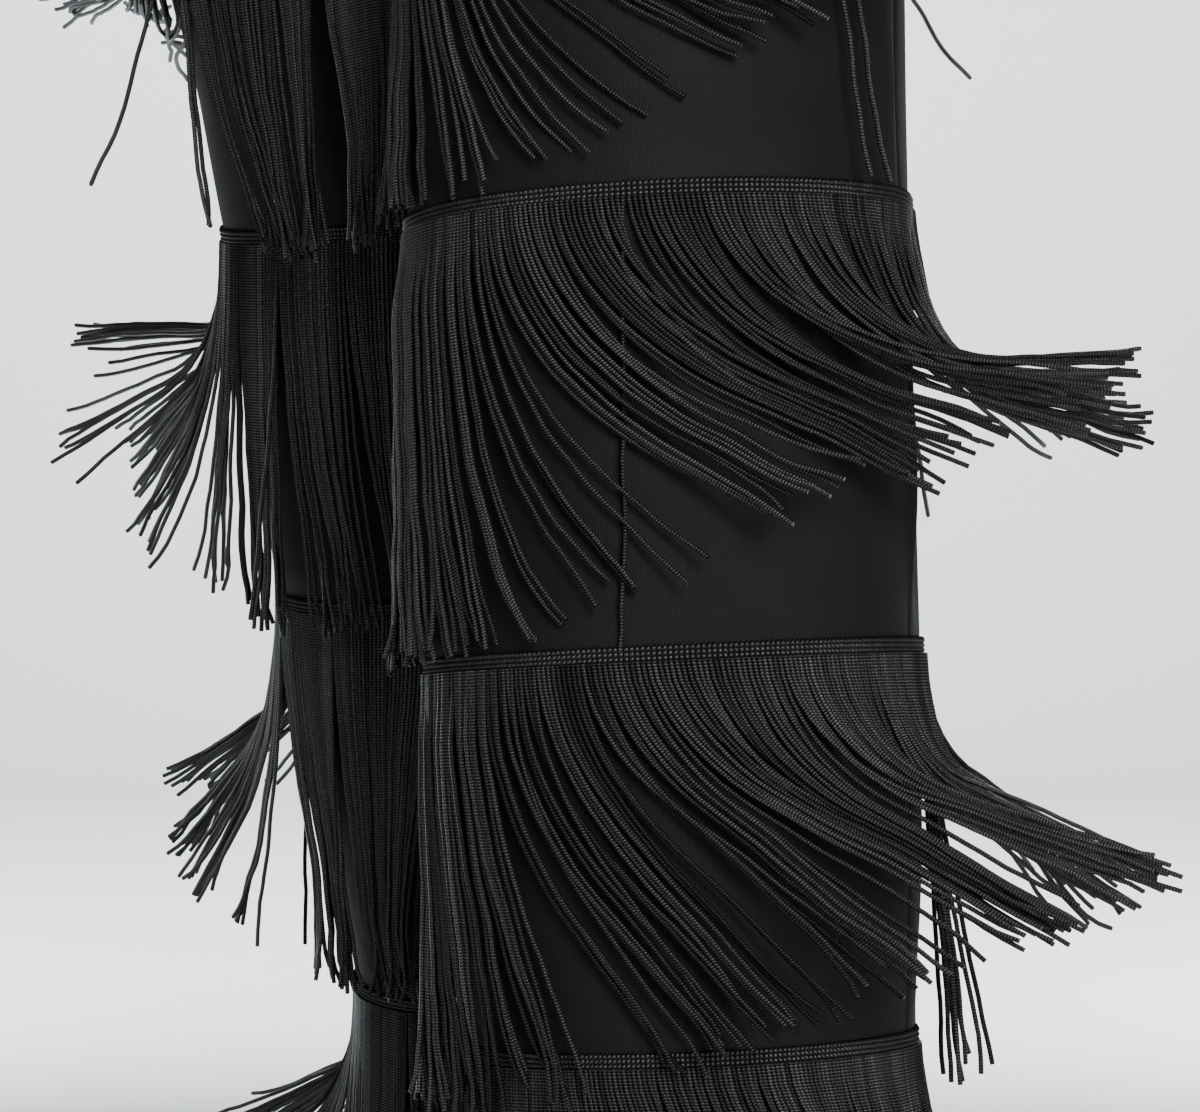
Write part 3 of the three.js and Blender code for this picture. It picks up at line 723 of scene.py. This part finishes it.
def make_stitch_tree():
    """Sets short stitches of thread end to end along paths."""
    graph, given, result = new_group(
        "Stitch rows", "GeometryNodeTree",
        (("Geometry", "NodeSocketGeometry", None), ("Stitch length", "NodeSocketFloat", 0.0026),
         ("Stitch pitch", "NodeSocketFloat", 0.0032), ("Thread radius", "NodeSocketFloat", 0.0002),
         ("Material", "NodeSocketMaterial", None)),
        (("Geometry", "NodeSocketGeometry"),),
    )
    curves = graph.add("GeometryNodeMeshToCurve", {0: given["Geometry"]}).outputs[0]
    spaced = graph.add("GeometryNodeResampleCurve", mode="LENGTH")
    graph.join(curves, spaced.inputs["Curve"])
    graph.join(given["Stitch pitch"], spaced.inputs["Length"])
    half = graph.math("MULTIPLY", given["Stitch length"], 0.5)
    start = graph.add("ShaderNodeCombineXYZ", {2: graph.math("MULTIPLY", half, -1.0)}).outputs[0]
    end = graph.add("ShaderNodeCombineXYZ", {2: half}).outputs[0]
    line = graph.add("GeometryNodeCurvePrimitiveLine", {"Start": start, "End": end}).outputs[0]
    line = graph.add("GeometryNodeResampleCurve", {"Curve": line, "Count": 5}).outputs[0]
    place = graph.add("GeometryNodeSplineParameter").outputs["Factor"]
    arch = graph.math("SINE", graph.math("MULTIPLY", place, math.pi))
    plump = graph.math("MULTIPLY_ADD", graph.math("POWER", arch, 0.5), 0.8, 0.2)
    line = graph.add("GeometryNodeSetCurveRadius", {"Curve": line, "Radius": plump}).outputs[0]
    circle = graph.add("GeometryNodeCurvePrimitiveCircle", {
        "Resolution": 5, "Radius": given["Thread radius"]}).outputs[0]
    stitch = graph.add("GeometryNodeCurveToMesh", {
        "Curve": line, "Profile Curve": circle, "Fill Caps": True}).outputs[0]
    tangent = graph.add("GeometryNodeInputTangent").outputs[0]
    aim = graph.add("FunctionNodeAlignRotationToVector", {"Vector": tangent}, axis="Z")
    placed = graph.add("GeometryNodeInstanceOnPoints", {
        "Points": spaced.outputs[0], "Instance": stitch, "Rotation": aim.outputs[0]}).outputs[0]
    solid = graph.add("GeometryNodeRealizeInstances", {0: placed}).outputs[0]
    solid = graph.add("GeometryNodeSetMaterial", {
        "Geometry": solid, "Material": given["Material"]}).outputs[0]
    graph.join(solid, result["Geometry"])
    return graph.tree


def path_mesh(name, paths, closed=False, **attributes):
    """A mesh of bare edges from equal paths in millimetres, with numbers kept at its points."""
    count, steps = paths.shape[:2]
    ids = np.arange(count * steps).reshape(count, steps)
    edges = np.stack((ids[:, :-1], ids[:, 1:]), -1).reshape(-1, 2)
    if closed:
        edges = np.concatenate((edges, np.stack((ids[:, -1], ids[:, 0]), -1)))
    mesh = bpy.data.meshes.new(name)
    mesh.from_pydata((paths.reshape(-1, 3) * MM).tolist(), edges.tolist(), [])
    for label, values in attributes.items():
        spread = np.broadcast_to(values, (count, steps)).astype(np.float32)
        layer = mesh.attributes.new(label, "FLOAT", "POINT")
        layer.data.foreach_set("value", spread.ravel())
    return mesh


def grown(name, mesh, make_tree, material, **values):
    """Runs a node tree on a mesh and keeps the result as one plain mesh."""
    thing = add_object(name, mesh, None)
    tree = bpy.data.node_groups.get(make_tree[0]) or make_tree[1]()
    modifier = thing.modifiers.new("Growth", "NODES")
    modifier.node_group = tree
    given = {label.replace("_", " "): value for label, value in values.items()}
    given["Material"] = material
    for item in tree.interface.items_tree:
        if item.item_type == "SOCKET" and item.in_out == "INPUT" and item.name in given:
            modifier[item.identifier] = given[item.name]
    bpy.context.view_layer.update()
    depsgraph = bpy.context.evaluated_depsgraph_get()
    made = bpy.data.meshes.new_from_object(thing.evaluated_get(depsgraph))
    thing.modifiers.clear()
    thing.data = made
    made.name = name
    return thing


CORD_TREE = ("Cord fringe", make_cord_tree)
STITCH_TREE = ("Stitch rows", make_stitch_tree)


# Pieces of the trousers

def relief(leg, drop, turn):
    """Small folds and waviness on top of the solids' large folds, in millimetres."""
    settled = smooth((np.asarray(drop, float) - WAISTBAND_HEIGHT) / 60)
    waves = unevenness(leg, drop, turn) * settled
    return fold_height(leg, drop, turn, SMALL_FOLDS) + waves


def panel_turns(half, drops, shares):
    """Turns of a panel's points: rows at drops, columns at shares of its width."""
    side = side_seam(drops)
    from_turn = -inner_turn(drops) if half == "front" else side
    to_turn = side if half == "front" else 180 + inner_turn(drops)
    return from_turn[:, None] + (to_turn - from_turn)[:, None] * shares[None, :]


def make_panel(leg, half, columns, rows, thickness):
    """One cut panel, from the waistband seam to the turned hem, rolled in at its seams.

    Above the crotch its edge lies in the middle of the body, where both legs are sewn together.
    """
    shares = finer_ends(columns, PANEL_WIDTH, (0.0, 0.5, 1.2, 2.4))
    top = WAISTBAND_HEIGHT + SEAM_GAP / 2
    length = LENGTH - top
    drops = top + length * finer_ends(rows, length, (0.0, 0.6, 1.4, 2.6))
    drops = np.sort(np.concatenate((drops, LENGTH - np.array(HEM_ROWS))))
    drops[np.argmin(np.abs(drops - CROTCH_DROP))] = CROTCH_DROP
    turns = panel_turns(half, drops, shares)
    levels = np.broadcast_to(drops[:, None], turns.shape)
    at_seam = np.exp(-((np.minimum(shares, 1 - shares) * PANEL_WIDTH / SEAM_ROLL) ** 2))
    at_end = np.exp(-((np.minimum(levels - top, LENGTH - levels) / END_ROLL) ** 2))
    hem = HEM_STEP * smooth((levels - (LENGTH - HEM_TURN)) / 1.2)
    tape = np.zeros(levels.shape)
    small = relief(leg, levels, turns)
    for tier in TIER_DROPS[leg]:
        middle = tier + TAPE_HEIGHT / 2
        tape += -TAPE_PRESS * np.exp(-(((levels - middle) / TAPE_PRESS_REACH) ** 2))
        near = np.exp(-(((levels - tier - 5) / TAPE_FLATTENS_REACH) ** 2))
        small *= 1 - TAPE_FLATTENS * near
    outer = small + ((-SEAM_DIP * at_seam)[None, :] - END_DIP * at_end) + hem + tape
    inner = small - thickness - INNER_DIP * at_seam
    middle_column = 0 if half == "front" else -1
    from_middle = np.abs(shares - shares[middle_column]) * PANEL_WIDTH
    walls = []
    for out in (outer, inner):
        points = leg_point(leg, levels, turns, out)
        off = points[:, middle_column, 0] * (drops <= CROTCH_DROP)
        points[..., 0] -= off[:, None] * np.exp(-((from_middle / MIDDLE_SEAM_REACH) ** 2))
        walls.append(posed(leg, points))
    pattern = np.stack((np.radians(turns) * PATTERN_RADIUS * MM, levels * MM), -1)
    mesh = wall_mesh(f"{leg}_{half}_cloth", *walls, pattern, flip=leg == "right")
    return add_object(f"{leg}_{half}_cloth", mesh, material_named("Trouser jersey"))


def make_waistband(half, columns, thickness):
    """Half of the waistband, finely gathered by the elastic inside it."""
    drops = np.array(BAND_ROWS)
    across = np.linspace(-90, 90, columns)
    turns = np.abs(across) if half == "front" else 180 - np.abs(across)
    turns = np.broadcast_to(turns, (len(drops), columns))
    levels = np.broadcast_to(drops[:, None], turns.shape)
    sign = np.where(across < 0, -1.0, 1.0)
    arc = np.radians(across) * BAND_RADIUS
    rng = np.random.default_rng(PATTERN_SEED)
    per_mm, phases = rng.uniform(0.05, 0.2, 4), rng.uniform(0, 6, 4)
    slow = sum(np.sin(arc * wave + phase) for wave, phase in zip(per_mm, phases))
    gather = np.sin(arc * 2 * math.pi / GATHER_PITCH + slow) * (0.32 + 0.12 * np.sin(arc * 0.11))
    held = np.exp(-(((levels - BAND_STITCH_DROP) / 1.6) ** 2)) + np.exp(-((levels / 4.0) ** 2))
    held += np.exp(-(((levels - WAISTBAND_HEIGHT) / 3.0) ** 2))
    lower = np.exp(-(((levels - BAND_LOWER_EDGE) / 1.0) ** 2))
    rolled = np.exp(-((levels / 1.1) ** 2)) + 0.7 * lower
    side = BAND_RADIUS * np.radians(90 - np.abs(across))
    offset = gather[None, :] * (1 - 0.8 * np.clip(held, 0, 1)) - 0.75 * rolled
    offset = offset - 0.7 * np.exp(-((side / SEAM_ROLL) ** 2))[None, :] - 0.25 * held
    grids = []
    for out in (offset, -thickness + 0.6 * rolled):
        points = leg_point("left", levels, turns, out)
        points[..., 0] *= sign
        grids.append(points)
    pattern = np.stack((np.broadcast_to(arc * MM, turns.shape), levels * MM), -1)
    name = f"waistband_{half}_band"
    mesh = wall_mesh(name, *grids, pattern, flip=half == "back")
    return add_object(name, mesh, material_named("Waistband jersey"))


def make_tape(leg, tier, cords):
    """The knitted tape that the cords of one tier grow from: columns and rows of beads."""
    columns = np.arange(2 * cords) / 2
    steps = 2 * BEAD_ROWS
    shares = np.concatenate((np.arange(steps + 1) / steps, (1.0, 0.0)))
    turns = INSEAM + 360.0 * columns / cords
    grid = np.broadcast_to(turns, (len(shares), len(turns)))
    round_column = -np.cos(2 * math.pi * columns)
    bead = np.abs(np.sin(shares * BEAD_ROWS * math.pi))
    stagger = COLUMN_STAGGER * np.cos(columns * math.pi)
    drops = TIER_DROPS[leg][tier] + shares * TAPE_HEIGHT
    loops = EDGE_LOOP * np.maximum(round_column, -0.4)[None, :] * (shares == 0)[:, None]
    levels = drops[:, None] + stagger[None, :] * (1 - shares)[:, None] - loops
    out = KNIT_OUT + BEAD_RISE * bead[:, None] + COLUMN_RISE * round_column[None, :]
    out[-2:] = KNIT_BACK
    points = cloth_point(leg, levels, grid, relief(leg, levels, grid) * 0.25 + out)
    beads = np.broadcast_to(columns, grid.shape)
    pattern = np.stack((beads, np.broadcast_to(shares[:, None], grid.shape)), -1)
    ids = np.arange(points[..., 0].size).reshape(grid.shape)
    ids = np.concatenate((ids, ids[:1]))
    ids = np.concatenate((ids, ids[:, :1]), 1)
    faces = np.stack((ids[:-1, :-1], ids[1:, :-1], ids[1:, 1:], ids[:-1, 1:]), -1).reshape(-1, 4)
    if leg == "right":
        faces = faces[:, ::-1]
    name = f"{leg}_tape_{tier + 1}"
    mesh = mesh_from(name, points.reshape(-1, 3), faces, pattern.reshape(-1, 2))
    return add_object(name, mesh, material_named("Fringe tape knit"))


def cord_paths(leg, tier, cords, length, lock_size, seed):
    """Paths of one tier's cords in locks, in millimetres, and the tone of each cord."""
    rng = np.random.default_rng(seed)
    turns = INSEAM + 360.0 * (np.arange(cords) + 0.5) / cords
    lock = np.cumsum(rng.random(cords) < 1 / lock_size)
    locks = lock[-1] + 1
    pull, aside, gather = rng.normal(size=locks), rng.normal(size=locks), rng.random(locks)
    table = SWINGS[TIER_SWINGS[leg][tier]]
    swing = {
        name: np.interp(turns, table[:, 0], table[:, k]) for k, name in enumerate(SWING_NAMES)
    }
    tilt = swing["tilt"] * TIER_TILTS[leg][tier] * (1 + LOCK_TILT * pull[lock])
    tilt = np.abs(tilt + rng.normal(size=cords) * (CORD_TILT + CORD_TILT_SHARE * tilt))
    tilt *= 1 - LAGGARD_SHARE * rng.random(cords) ** LAGGARD_POWER
    turned = LOCK_TURN * aside[lock] + rng.normal(0, CORD_TURN, cords)
    heading = np.radians(swing["heading"] + turned)
    bend = np.clip(swing["bend"] * TIER_BENDS[leg][tier], 0.2, 1)
    loose = np.zeros(cords, bool)
    for row in STRAIGHT_CORDS:
        cord = dict(zip(STRAIGHT_NAMES, row))
        if cord["leg"] == leg and cord["tier"] == tier:
            place = np.argmin(np.abs(turns - cord["turn"]))
            loose[place], tilt[place] = True, cord["tilt"]
            heading[place] = math.radians(STRAIGHT_HEADING)
    lengths = length * (1 + rng.normal(0, LENGTH_SPREAD, cords))
    hang = HANG_CLEARANCE[0] + HANG_CLEARANCE[1] * rng.random(cords)
    hang = np.where(loose, STRAIGHT_CLEARANCE, hang)
    step = lengths / PATH_STEPS
    at = cloth_point(leg, np.full(cords, TIER_DROPS[leg][tier] + ROOT_DROP), turns, ROOT_OUT)
    path = [at]
    for i in range(PATH_STEPS):
        along = (i + 0.5) / PATH_STEPS
        angle = np.radians(tilt) * np.minimum(1, along / bend) ** swing["power"]
        sideways = np.sin(angle)
        way = np.stack((POSES[leg]["sign"] * np.sin(heading) * sideways,
                        -np.cos(heading) * sideways, -np.cos(angle)), -1)
        clear = ROOT_CLEARANCE + (hang - ROOT_CLEARANCE) * smooth(along * 5) + END_LIFT * along
        move = pushed_out(leg, at + way * step[:, None], clear) - at
        at = at + move * (step / np.linalg.norm(move, axis=1))[:, None]
        path.append(at)
    path = np.stack(path, 1)
    share = np.linspace(0, 1, PATH_STEPS + 1)
    middle = np.zeros((locks, PATH_STEPS + 1, 3))
    np.add.at(middle, lock, path)
    middle /= np.bincount(lock, minlength=locks)[:, None, None]
    closing = (LOCK_CLOSING[0] + LOCK_CLOSING[1] * gather)[lock] * np.where(loose, 0, 1)
    path += (middle[lock] - path) * (closing[:, None] * smooth(share * 1.1)[None, :])[..., None]
    flick = rng.normal(0, FLICK, (cords, 1, 3)) * (share**FLICK_POWER)[None, :, None]
    curl = rng.normal(0, CURL, (cords, 1, 3)) * (share**CURL_POWER)[None, :, None]
    path += (flick + curl) * np.array((1, 1, 0.5))
    tone = np.clip(0.55 + 0.16 * rng.normal(size=cords) + 0.10 * pull[lock], 0.15, 1)
    return path, tone


def make_cords(leg, tier, settings):
    """All cords of one tier as one joined mesh."""
    cords = settings.cords_per_tier
    path, tone = cord_paths(
        leg, tier, cords, settings.cord_length / MM, settings.lock_size,
        settings.seed + 10 * tier + (0 if leg == "left" else 5),
    )
    points = settings.near_points if leg == "left" else settings.far_points
    keep = np.linspace(0, PATH_STEPS, points).round().astype(int)
    taper = np.where(np.arange(points) == points - 1, END_TAPER, 1.0)
    name = f"{leg}_cords_{tier + 1}"
    mesh = path_mesh(name, path[:, keep], tone=tone[:, None], thickness=taper[None, :])
    return grown(
        name, mesh, CORD_TREE, material_named("Chainette cord"),
        Cord_radius=settings.cord_radius, Sides=settings.cord_sides,
        Wander=settings.wander, Seed=settings.seed,
    )


def ring_path(leg, drop, out, steps=180):
    """A closed path round a leg at a drop."""
    turns = INSEAM + 360.0 * np.arange(steps) / steps
    return cloth_point(leg, np.full(steps, drop), turns, relief(leg, drop, turns) + out)


def make_hem_stitches(leg, settings):
    """Twin rows of stitches that hold a turned hem."""
    paths = np.stack([ring_path(leg, LENGTH - up, 0.42) for up in HEM_STITCHES])
    name = f"{leg}_hem_stitches"
    return grown(
        name, path_mesh(name, paths, closed=True), STITCH_TREE, material_named("Sewing thread"),
        Stitch_length=settings.stitch_length, Stitch_pitch=settings.stitch_pitch,
        Thread_radius=settings.thread_radius,
    )


def make_waist_stitches(settings):
    """The row of stitches that holds the elastic near the waistband's lower edge."""
    across = np.linspace(-180, 180, BAND_STITCH_POINTS, endpoint=False)
    drops = np.full(BAND_STITCH_POINTS, BAND_STITCH_DROP)
    points = leg_point("left", drops, np.abs(across), 0.0)
    points[:, 0] *= np.where(across < 0, -1.0, 1.0)
    name = "waistband_stitches"
    return grown(
        name, path_mesh(name, points[None], closed=True), STITCH_TREE,
        material_named("Sewing thread"), Stitch_length=settings.stitch_length,
        Stitch_pitch=settings.stitch_pitch, Thread_radius=settings.thread_radius,
    )


# The studio

STUDIO_PAINT = (0.90, 0.93, 0.945)
AIR_COLOUR = (0.86, 0.93, 1.0, 1)
AIR_STRENGTH = 0.28

# Floor and backdrop, in metres: gap under the hems, reach to each side, where the floor starts
# to sweep up behind the trousers, the radius and steps of that sweep, and the wall's height
FLOOR_GAP = 0.012
FLOOR_REACH = 9.0
SWEEP_START = 5.2
SWEEP_RADIUS = 1.5
SWEEP_STEPS = 12
WALL_HEIGHT = 6.0

# Softboxes: name, place, aim, size, energy and colour; places are sideways, back and up
TROUSERS_MIDDLE = (0.08, 0.05, -0.6)
LIGHTS = (
    ("key_softbox", (0.7, -2.7, 0.2), TROUSERS_MIDDLE, 1.0, 160.0, (1.0, 0.99, 0.98)),
    ("side_softbox", (2.3, -1.7, 0.9), TROUSERS_MIDDLE, 1.2, 4.0, (1.0, 0.99, 0.98)),
    ("fill_softbox", (-1.2, -2.8, 0.3), TROUSERS_MIDDLE, 1.6, 3.0, (0.96, 0.98, 1.0)),
    ("top_softbox", (0.6, -0.2, 2.4), TROUSERS_MIDDLE, 1.6, 28.0, (1.0, 1.0, 1.0)),
    ("backdrop_left", (-1.6, 1.1, 0.2), (-1.6, 5.0, 0.0), 1.6, 190.0, (0.97, 0.99, 1.0)),
    ("backdrop_right", (1.6, 1.1, 0.2), (1.6, 5.0, 0.0), 1.6, 182.0, (0.97, 0.99, 1.0)),
    ("backdrop_top", (0.0, 3.4, 1.6), (0.0, 6.6, -0.8), 1.6, 70.0, (0.97, 0.99, 1.0)),
)


def plain_material(name, colour, roughness):
    """A plain painted surface of the studio, with a trace of unevenness."""
    material = bpy.data.materials.new(name)
    material.use_nodes = True
    material.node_tree.nodes.clear()
    graph = Graph(material.node_tree)
    place = graph.add("ShaderNodeTexCoord").outputs["Object"]
    noise = graph.add("ShaderNodeTexNoise", {"Vector": place, "Scale": 1.3, "Detail": 1.0})
    darker = tuple(0.985 * part for part in colour)
    body = graph.add("ShaderNodeBsdfPrincipled", {
        "Base Color": graph.blend(noise.outputs[0], (*darker, 1), (*colour, 1)),
        "Roughness": roughness, "Specular IOR Level": 0.1})
    graph.add("ShaderNodeOutputMaterial", {"Surface": body.outputs[0]})
    return material


def add_light(name, at, target, size, energy, colour):
    """A square softbox that looks at a point."""
    data = bpy.data.lights.new(name, "AREA")
    data.shape = "SQUARE"
    data.size = size
    data.energy = energy
    data.color = colour
    light = bpy.data.objects.new(name, data)
    bpy.context.scene.collection.objects.link(light)
    light.location = at
    light.visible_camera = False
    light.rotation_mode = "QUATERNION"
    light.rotation_quaternion = (Vector(target) - Vector(at)).to_track_quat("-Z", "Y")


# Settings, shown in the sidebar

class ClothSettings(bpy.types.PropertyGroup):
    """Sizes of the cut and sewn cloth."""

    columns: bpy.props.IntProperty(
        name="Columns", description="Columns of faces across one panel", default=72, min=20, max=200)
    rows: bpy.props.IntProperty(
        name="Rows", description="Rows of faces down one panel", default=104, min=30, max=300)
    thickness: bpy.props.FloatProperty(
        name="Thickness", description="Thickness of the jersey in millimetres",
        default=1.3, min=0.5, max=1.6)
    band_columns: bpy.props.IntProperty(
        name="Band columns", description="Columns of faces across half of the waistband",
        default=330, min=60, max=600)
    band_thickness: bpy.props.FloatProperty(
        name="Band thickness", description="Thickness of the waistband in millimetres",
        default=2.2, min=1.0, max=2.4)
    stitch_length: bpy.props.FloatProperty(
        name="Stitch length", description="Length of one stitch", default=0.0026,
        min=0.001, max=0.006, subtype="DISTANCE", unit="LENGTH")
    stitch_pitch: bpy.props.FloatProperty(
        name="Stitch pitch", description="Distance from one stitch to the next", default=0.0032,
        min=0.001, max=0.008, subtype="DISTANCE", unit="LENGTH")
    thread_radius: bpy.props.FloatProperty(
        name="Thread radius", description="Radius of the sewing thread", default=0.00022,
        min=0.00005, max=0.001, subtype="DISTANCE", unit="LENGTH")


class FringeSettings(bpy.types.PropertyGroup):
    """Sizes of the fringe."""

    cords_per_tier: bpy.props.IntProperty(
        name="Cords", description="Cords in one tier round a leg", default=300, min=50, max=340)
    cord_length: bpy.props.FloatProperty(
        name="Cord length", description="Length of a cord from the tape's middle", default=0.170,
        min=0.05, max=0.2, subtype="DISTANCE", unit="LENGTH")
    cord_radius: bpy.props.FloatProperty(
        name="Cord radius", description="Radius of one cord", default=0.00104,
        min=0.0003, max=0.003, subtype="DISTANCE", unit="LENGTH")
    cord_sides: bpy.props.IntProperty(
        name="Sides", description="Sides of one cord", default=5, min=3, max=8)
    near_points: bpy.props.IntProperty(
        name="Points, left leg", description="Points along a cord of the left leg",
        default=26, min=6, max=45)
    far_points: bpy.props.IntProperty(
        name="Points, right leg", description="Points along a cord of the right leg",
        default=22, min=6, max=45)
    lock_size: bpy.props.FloatProperty(
        name="Lock size", description="Cords that cling together in one lock, on average",
        default=8.0, min=1.0, max=40.0)
    wander: bpy.props.FloatProperty(
        name="Wander", description="How far a cord's free end strays", default=0.006,
        min=0.0, max=0.03, subtype="DISTANCE", unit="LENGTH")
    seed: bpy.props.IntProperty(
        name="Seed", description="Start of the random draws", default=5, min=0, max=999)


class StageSettings(bpy.types.PropertyGroup):
    """The studio round the trousers."""

    azimuth: bpy.props.FloatProperty(
        name="Azimuth", description="Direction of the camera round the trousers in degrees",
        default=31.0, min=-180.0, max=180.0)
    distance: bpy.props.FloatProperty(
        name="Distance", description="Distance of the camera from the near leg", default=1.65,
        min=0.5, max=5.0, subtype="DISTANCE", unit="LENGTH")
    focal_length: bpy.props.FloatProperty(
        name="Focal length", description="Focal length of the camera in millimetres",
        default=123.75, min=20.0, max=300.0)
    aim_height: bpy.props.FloatProperty(
        name="Aim height", description="Height of the camera below the waist, negative",
        default=-0.6476, min=-1.1, max=0.5, subtype="DISTANCE", unit="LENGTH")
    aim_side: bpy.props.FloatProperty(
        name="Aim side", description="Sideways place of the camera's axis", default=0.0687,
        min=-0.5, max=0.5, subtype="DISTANCE", unit="LENGTH")
    aim_depth: bpy.props.FloatProperty(
        name="Aim depth", description="Depth of the near leg behind the waist's middle",
        default=-0.069, min=-0.5, max=0.5, subtype="DISTANCE", unit="LENGTH")


# Operators


class TROUSERS_OT_panels(bpy.types.Operator):
    """Make the four cut panels and the stitches of their hems"""

    bl_idname = "trousers.panels"
    bl_label = "Make panels"

    def execute(self, context):
        cloth = context.scene.trouser_cloth
        for leg in ("left", "right"):
            for half in ("front", "back"):
                piece = make_panel(leg, half, cloth.columns, cloth.rows, cloth.thickness)
                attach(piece, "root")
                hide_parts(f"{leg}_{half}")
            stitches = make_hem_stitches(leg, cloth)
            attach(stitches, "root")
        return {"FINISHED"}


class TROUSERS_OT_waistband(bpy.types.Operator):
    """Make both halves of the waistband and its row of stitches"""

    bl_idname = "trousers.waistband"
    bl_label = "Make waistband"

    def execute(self, context):
        cloth = context.scene.trouser_cloth
        for half in ("front", "back"):
            piece = make_waistband(half, cloth.band_columns, cloth.band_thickness)
            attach(piece, "root")
            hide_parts(f"waistband_{half}")
        stitches = make_waist_stitches(cloth)
        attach(stitches, "root")
        return {"FINISHED"}


class TROUSERS_OT_fringe(bpy.types.Operator):
    """Make the tapes and cords of every tier"""

    bl_idname = "trousers.fringe"
    bl_label = "Make fringe"

    def execute(self, context):
        settings = context.scene.trouser_fringe
        for leg in ("left", "right"):
            for tier in range(4):
                tape = make_tape(leg, tier, settings.cords_per_tier)
                cords = make_cords(leg, tier, settings)
                for piece in (tape, cords):
                    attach(piece, "root")
                    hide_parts(f"{leg}_fringe_{tier + 1}")
        return {"FINISHED"}


class TROUSERS_OT_cloth_notes(bpy.types.Operator):
    """List the trims sewn on each front panel; the lists are not kept or used"""

    bl_idname = "trousers.cloth_notes"
    bl_label = "State cloth cuts"

    def execute(self, context):
        for leg in ("left", "right"):
            for half in ("front", "back"):
                trims = []
                if half == "front":
                    trims = [f"{leg}_hem_stitches"]
                    trims += [f"{leg}_tape_{tier + 1}" for tier in range(4)]
                    trims += [f"{leg}_cords_{tier + 1}" for tier in range(4)]
        return {"FINISHED"}


class TROUSERS_OT_stage(bpy.types.Operator):
    """Set up the pale studio, its soft lights and the camera"""

    bl_idname = "trousers.stage"
    bl_label = "Set the stage"

    def execute(self, context):
        stage = context.scene.trouser_stage
        angle = math.radians(stage.azimuth)
        right = Vector((math.cos(angle), math.sin(angle), 0))
        forward = Vector((-math.sin(angle), math.cos(angle), 0))
        low = -LENGTH * MM - FLOOR_GAP

        # Floor that sweeps up into a backdrop far behind the trousers, seen from the camera
        profile = [(-FLOOR_REACH, 0.0), (SWEEP_START, 0.0)]
        for step in range(1, SWEEP_STEPS + 1):
            bend = math.radians(90 * step / SWEEP_STEPS)
            profile.append((
                SWEEP_START + SWEEP_RADIUS * math.sin(bend), SWEEP_RADIUS * (1 - math.cos(bend))))
        profile.append((SWEEP_START + SWEEP_RADIUS, WALL_HEIGHT))
        points, faces = [], []
        for depth, height in profile:
            for side in (-FLOOR_REACH, FLOOR_REACH):
                spot = right * side + forward * depth
                points.append((spot.x, spot.y, low + height))
        for k in range(len(profile) - 1):
            faces.append((2 * k, 2 * k + 1, 2 * k + 3, 2 * k + 2))
        mesh = bpy.data.meshes.new("studio_cove")
        mesh.from_pydata(points, [], faces)
        mesh.polygons.foreach_set("use_smooth", [True] * len(faces))
        cove = add_object("studio_cove", mesh, plain_material("Studio paint", STUDIO_PAINT, 0.9))

        for name, place, target, size, energy, colour in LIGHTS:
            at, aim = (
                right * side + forward * back + Vector((0, 0, height))
                for side, back, height in (place, target)
            )
            add_light(name, at, aim, size, energy, colour)

        world = bpy.data.worlds.new("Studio air")
        world.use_nodes = True
        air = world.node_tree.nodes["Background"]
        air.inputs[0].default_value = AIR_COLOUR
        air.inputs[1].default_value = AIR_STRENGTH
        context.scene.world = world

        camera = bpy.data.objects.new("camera", bpy.data.cameras.new("camera"))
        context.scene.collection.objects.link(camera)
        place = right * stage.aim_side + forward * (stage.aim_depth - stage.distance)
        camera.location = (place.x, place.y, stage.aim_height)
        camera.rotation_mode = "QUATERNION"
        camera.rotation_quaternion = forward.to_track_quat("-Z", "Y")
        camera.data.lens = stage.focal_length
        camera.data.sensor_width = 36.0
        camera.data.clip_end = 50.0
        camera.data.dof.use_dof = False
        context.scene.camera = camera
        return {"FINISHED"}


class TROUSERS_PT_sidebar(bpy.types.Panel):
    """Sizes of the trousers and buttons that make them"""

    bl_label = "Fringed dance trousers"
    bl_idname = "TROUSERS_PT_sidebar"
    bl_space_type = "VIEW_3D"
    bl_region_type = "UI"
    bl_category = "Trousers"

    def draw(self, context):
        layout = self.layout
        for title, group in (
            ("Cloth", context.scene.trouser_cloth), ("Fringe", context.scene.trouser_fringe),
            ("Stage", context.scene.trouser_stage),
        ):
            box = layout.box()
            box.label(text=title)
            for name in group.__annotations__:
                box.prop(group, name)
        for operator in OPERATORS:
            layout.operator(operator.bl_idname)


SETTINGS = (
    (ClothSettings, "trouser_cloth"), (FringeSettings, "trouser_fringe"),
    (StageSettings, "trouser_stage"),
)
OPERATORS = (
    TROUSERS_OT_panels, TROUSERS_OT_waistband, TROUSERS_OT_fringe,
    TROUSERS_OT_cloth_notes, TROUSERS_OT_stage,
)


def register():
    """Makes the settings, operators and sidebar known."""
    for group, name in SETTINGS:
        bpy.utils.register_class(group)
        setattr(bpy.types.Scene, name, bpy.props.PointerProperty(type=group))
    for kind in (*OPERATORS, TROUSERS_PT_sidebar):
        bpy.utils.register_class(kind)


def unregister():
    """Takes them out again."""
    for kind in reversed((*OPERATORS, TROUSERS_PT_sidebar)):
        bpy.utils.unregister_class(kind)
    for group, name in reversed(SETTINGS):
        delattr(bpy.types.Scene, name)
        bpy.utils.unregister_class(group)


def main():
    """Builds the trousers and the stage."""
    register()
    bpy.ops.trousers.panels()
    bpy.ops.trousers.waistband()
    bpy.ops.trousers.fringe()
    bpy.ops.trousers.cloth_notes()
    bpy.ops.trousers.stage()


if __name__ == "__main__":
    main()
